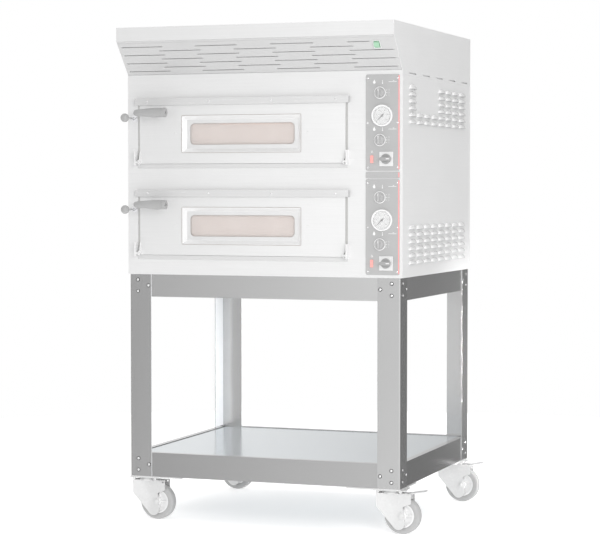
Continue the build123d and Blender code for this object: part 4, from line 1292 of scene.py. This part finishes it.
def make_fasteners():
    stand_lo, stand_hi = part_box("stand_posts")
    steps = ((0.030, 0.019), (0.070, 0.039), (0.030, 0.059))
    spots = []
    for sx, sy in CORNERS.values():
        for inset, drop in steps:
            for z in (stand_hi.z - drop, stand_lo.z + drop + 0.003):
                spots.append(facing((sx * (stand_hi.x - inset), sy * stand_hi.y, z),
                                    Matrix.Rotation(math.radians(-90 * sy), 4, "X")))
                spots.append(facing((sx * stand_hi.x, sy * (stand_hi.y - inset), z),
                                    Matrix.Rotation(math.radians(90 * sx), 4, "Y")))
    # Dark rings under the stand's screw heads stand in for their shadows: painted shadow.
    shadow_ring = turned("shadow_ring", [(0.0040, 0), (0.0070, 0), (0.0068, 0.0005), (0.0040, 0.0005)], steps=24)
    piece(scattered("stand_shadow_rings", shadow_ring, spots), "oven", "screw_zinc", mat("shadow_ring"))
    heads = scattered("stand_screws", make_button_screw(0.0045, 0.0024), spots)
    piece(heads, "oven", "screw_zinc", mat("screw"), "fasteners")
    panel_x, lintel_y = middle("control_panels").x, low("door_lintels").y
    lo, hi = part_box("control_panels")
    small = [facing((panel_x + dx, PANEL_FRONT, z + rise))
             for z in (hi.z - PANEL_HALF, lo.z + PANEL_HALF)
             for rise in (0.147, -0.001, -0.149) for dx in (-0.052, 0.052)]
    for deck in DECKS:
        z = high(f"door_skin_{deck}").z + 0.012
        small += [facing((DOOR_X + step * 0.230, lintel_y, z)) for step in (-1.5, -0.5, 0.5, 1.5)]
    heads = scattered("panel_screws", make_button_screw(0.003, 0.0016), small)
    piece(heads, "oven", "screw_zinc", mat("screw"))
    plate_z = low("corner_plates").z - 0.003
    down = Matrix.Rotation(math.pi, 4, "X")
    bolts = [facing((sx * 0.450 + dx, sy * 0.375 + dy, plate_z), down)
             for sx, sy in CORNERS.values() for dx in (-0.040, 0.040) for dy in (-0.030, 0.030)]
    nuts = scattered("castor_bolts", make_nut(0.013, 0.0055, 0.008), bolts)
    piece(nuts, "oven", "screw_zinc", mat("screw"))


# ---- stage ----------------------------------------------------------------------------
CAMERA_PLACE = (2.46565, -6.7805, 1.16466)
CAMERA_TILT, CAMERA_TURN = -0.0412, 0.351      # radians below level, and from +Y towards -X
CAMERA_LENS = 119.96                           # mm on a 36 mm sensor
# darker parts of the studio: direction, half widths in degrees where fully dark and at the edge, depth
DARK_BAYS = (((0.40, 0.92, -0.05), 26, 50, 0.78), ((-0.68, -0.73, -0.03), 16, 26, 0.72))
FILL = 0.80                                    # even light on matt surfaces


def make_floor():
    """A wide pale sheet of studio paper."""
    bpy.ops.mesh.primitive_circle_add(vertices=96, radius=3.2, fill_type="NGON")
    floor = bpy.context.object
    floor.name = "studio_floor"
    material, tree = new_material("studio_paper")
    fibre = pattern(tree, "Noise", Scale=400.0, Detail=2.0).outputs[0]
    floor.data.materials.append(dressed(material, fibre, "#FBFBFB", "#FFFFFF", 0.9,
                                        even={"Specular IOR Level": 0.1} | lit("#FFFFFF", 0.38)))
    floor.visible_glossy = False


def make_world():
    """White for the camera; for reflections, a bright studio with two darker bays."""
    world = bpy.data.worlds.new("studio")
    bpy.context.scene.world = world
    world.use_nodes = True
    tree = world.node_tree
    tree.nodes.clear()
    coords = add_node(tree, "ShaderNodeTexCoord").outputs["Generated"]
    level = 1.0
    for towards, near, far, depth in DARK_BAYS:
        way = Vector(towards).normalized()
        along = add_node(tree, "ShaderNodeVectorMath", {0: coords, 1: way},
                         operation="DOT_PRODUCT").outputs["Value"]
        bay = add_node(tree, "ShaderNodeMapRange", {"Value": along, "From Min": math.cos(math.radians(far)),
                                                    "From Max": math.cos(math.radians(near)),
                                                    "To Min": 0.0, "To Max": depth},
                       interpolation_type="SMOOTHSTEP").outputs[0]
        level = add_node(tree, "ShaderNodeMath", {0: level, 1: bay}, operation="SUBTRACT").outputs[0]
    path = add_node(tree, "ShaderNodeLightPath")
    level = add_node(tree, "ShaderNodeMix",
                     {"Factor": path.outputs["Is Diffuse Ray"], "A": level, "B": FILL}).outputs[0]
    seen = path.outputs["Is Camera Ray"]
    soft = add_node(tree, "ShaderNodeBackground", {"Color": linear("#FFFFFF"), "Strength": level})
    plain = add_node(tree, "ShaderNodeBackground", {"Color": linear("#FFFFFF"), "Strength": 1.0})
    mixed = add_node(tree, "ShaderNodeMixShader", {0: seen, 1: soft.outputs[0], 2: plain.outputs[0]})
    add_node(tree, "ShaderNodeOutputWorld", {"Surface": mixed.outputs[0]})


def add_light(name, spot, target, size, power, spread=180):
    """A round softbox at a spot, turned to a target."""
    data = bpy.data.lights.new(name, "AREA")
    data.shape, data.size, data.energy = "DISK", size, power
    data.spread = math.radians(spread)
    light = bpy.data.objects.new(name, data)
    bpy.context.scene.collection.objects.link(light)
    light.location = spot
    light.rotation_euler = (Vector(target) - Vector(spot)).to_track_quat("-Z", "Y").to_euler()


def make_stage():
    make_floor()
    make_world()
    add_light("key_softbox", (2.2, -3.2, 1.9), (0, 0, 1.0), 1.5, 34)
    add_light("top_softbox", (0, 0.2, 4.6), (0, 0, 0), 3.4, 26)
    add_light("low_softbox", (2.6, 0.36, 0.46), (-0.5, 0.36, 0.46), 0.5, 2.7, spread=22)
    data = bpy.data.cameras.new("camera")
    data.lens = CAMERA_LENS
    data.sensor_width = 36
    camera = bpy.data.objects.new("camera", data)
    bpy.context.scene.collection.objects.link(camera)
    camera.location = CAMERA_PLACE
    camera.rotation_euler = (math.pi / 2 + CAMERA_TILT, 0, CAMERA_TURN)
    bpy.context.scene.camera = camera
    bpy.context.scene.view_settings.view_transform = "Standard"


# ---- the add-on -----------------------------------------------------------------------
class OVEN_OT_stand(bpy.types.Operator):
    """Fold the posts, and finish the rails, corner plates and shelf"""

    bl_idname = "oven.stand"
    bl_label = "Stand"

    def execute(self, context):
        make_stand()
        return {"FINISHED"}


class OVEN_OT_castors(bpy.types.Operator):
    """Make the tyres, rims, forks, nuts and brake pedals"""

    bl_idname = "oven.castors"
    bl_label = "Castors"

    def execute(self, context):
        make_castors()
        return {"FINISHED"}


class OVEN_OT_casing(bpy.types.Operator):
    """Make the front sheet, gaskets, lintels and trims, and finish the back and the decks"""

    bl_idname = "oven.casing"
    bl_label = "Casing"

    def execute(self, context):
        make_casing()
        return {"FINISHED"}


class OVEN_OT_louvres(bpy.types.Operator):
    """Make the pressed louvres of both side panels"""

    bl_idname = "oven.louvres"
    bl_label = "Louvres"

    def execute(self, context):
        make_louvres()
        return {"FINISHED"}


class OVEN_OT_chambers(bpy.types.Operator):
    """Finish the chambers, stones, elements and insulation"""

    bl_idname = "oven.chambers"
    bl_label = "Baking chambers"

    def execute(self, context):
        make_chambers()
        return {"FINISHED"}


class OVEN_OT_doors(bpy.types.Operator):
    """Make the doors' skins, rivets and seals, and finish the windows and hinges"""

    bl_idname = "oven.doors"
    bl_label = "Doors"

    def execute(self, context):
        make_doors()
        return {"FINISHED"}


class OVEN_OT_handles(bpy.types.Operator):
    """Make the grips, stems and vent pulls"""

    bl_idname = "oven.handles"
    bl_label = "Handles and vent pulls"

    def execute(self, context):
        make_handles()
        return {"FINISHED"}


class OVEN_OT_fascias(bpy.types.Operator):
    """Make the control panels with their print, lamps and switch plates"""

    bl_idname = "oven.fascias"
    bl_label = "Control panels"

    def execute(self, context):
        make_fascias()
        return {"FINISHED"}


class OVEN_OT_controls(bpy.types.Operator):
    """Make the thermostat knobs and mains switches"""

    bl_idname = "oven.controls"
    bl_label = "Knobs and switches"

    def execute(self, context):
        make_controls()
        return {"FINISHED"}


class OVEN_OT_gauges(bpy.types.Operator):
    """Make the temperature gauges"""

    bl_idname = "oven.gauges"
    bl_label = "Gauges"

    def execute(self, context):
        make_gauges()
        return {"FINISHED"}


class OVEN_OT_hood(bpy.types.Operator):
    """Finish the hood and its switch, and make its filters"""

    bl_idname = "oven.hood"
    bl_label = "Hood"

    def execute(self, context):
        make_hood()
        return {"FINISHED"}


class OVEN_OT_back(bpy.types.Operator):
    """Make the flue collar and the cable glands"""

    bl_idname = "oven.back"
    bl_label = "Flue collar and glands"

    def execute(self, context):
        make_back()
        return {"FINISHED"}


class OVEN_OT_fasteners(bpy.types.Operator):
    """Make the screws, the dark rings under the stand's screws that paint their shadow, and castor bolts"""

    bl_idname = "oven.fasteners"
    bl_label = "Fasteners"

    def execute(self, context):
        make_fasteners()
        return {"FINISHED"}


class OVEN_OT_stage(bpy.types.Operator):
    """Set up the floor, lights and camera"""

    bl_idname = "oven.stage"
    bl_label = "Stage"

    def execute(self, context):
        make_stage()
        return {"FINISHED"}


STEPS = (OVEN_OT_stand, OVEN_OT_castors, OVEN_OT_casing, OVEN_OT_louvres, OVEN_OT_chambers, OVEN_OT_doors,
         OVEN_OT_handles, OVEN_OT_fascias, OVEN_OT_controls, OVEN_OT_gauges, OVEN_OT_hood, OVEN_OT_back,
         OVEN_OT_fasteners, OVEN_OT_stage)


class OVEN_PT_panel(bpy.types.Panel):
    """Lists the steps and the sizes and colours they use"""

    bl_idname = "OVEN_PT_panel"
    bl_label = "Pizza oven"
    bl_space_type = "VIEW_3D"
    bl_region_type = "UI"
    bl_category = "Pizza oven"

    def draw(self, context):
        for group in (context.scene.oven_sizes, context.scene.oven_colours):
            for name in group.bl_rna.properties.keys():
                if name not in ("rna_type", "name"):
                    self.layout.prop(group, name)
        for step in STEPS:
            self.layout.operator(step.bl_idname)


CLASSES = (OvenSizes, OvenColours, *STEPS, OVEN_PT_panel)


def register():
    for cls in CLASSES:
        bpy.utils.register_class(cls)
    bpy.types.Scene.oven_sizes = PointerProperty(type=OvenSizes)
    bpy.types.Scene.oven_colours = PointerProperty(type=OvenColours)


def unregister():
    del bpy.types.Scene.oven_colours
    del bpy.types.Scene.oven_sizes
    for cls in reversed(CLASSES):
        bpy.utils.unregister_class(cls)


def main():
    register()
    make_materials()
    for step in STEPS:
        group, name = step.bl_idname.split(".")
        getattr(getattr(bpy.ops, group), name)()


if __name__ == "__main__":
    main()
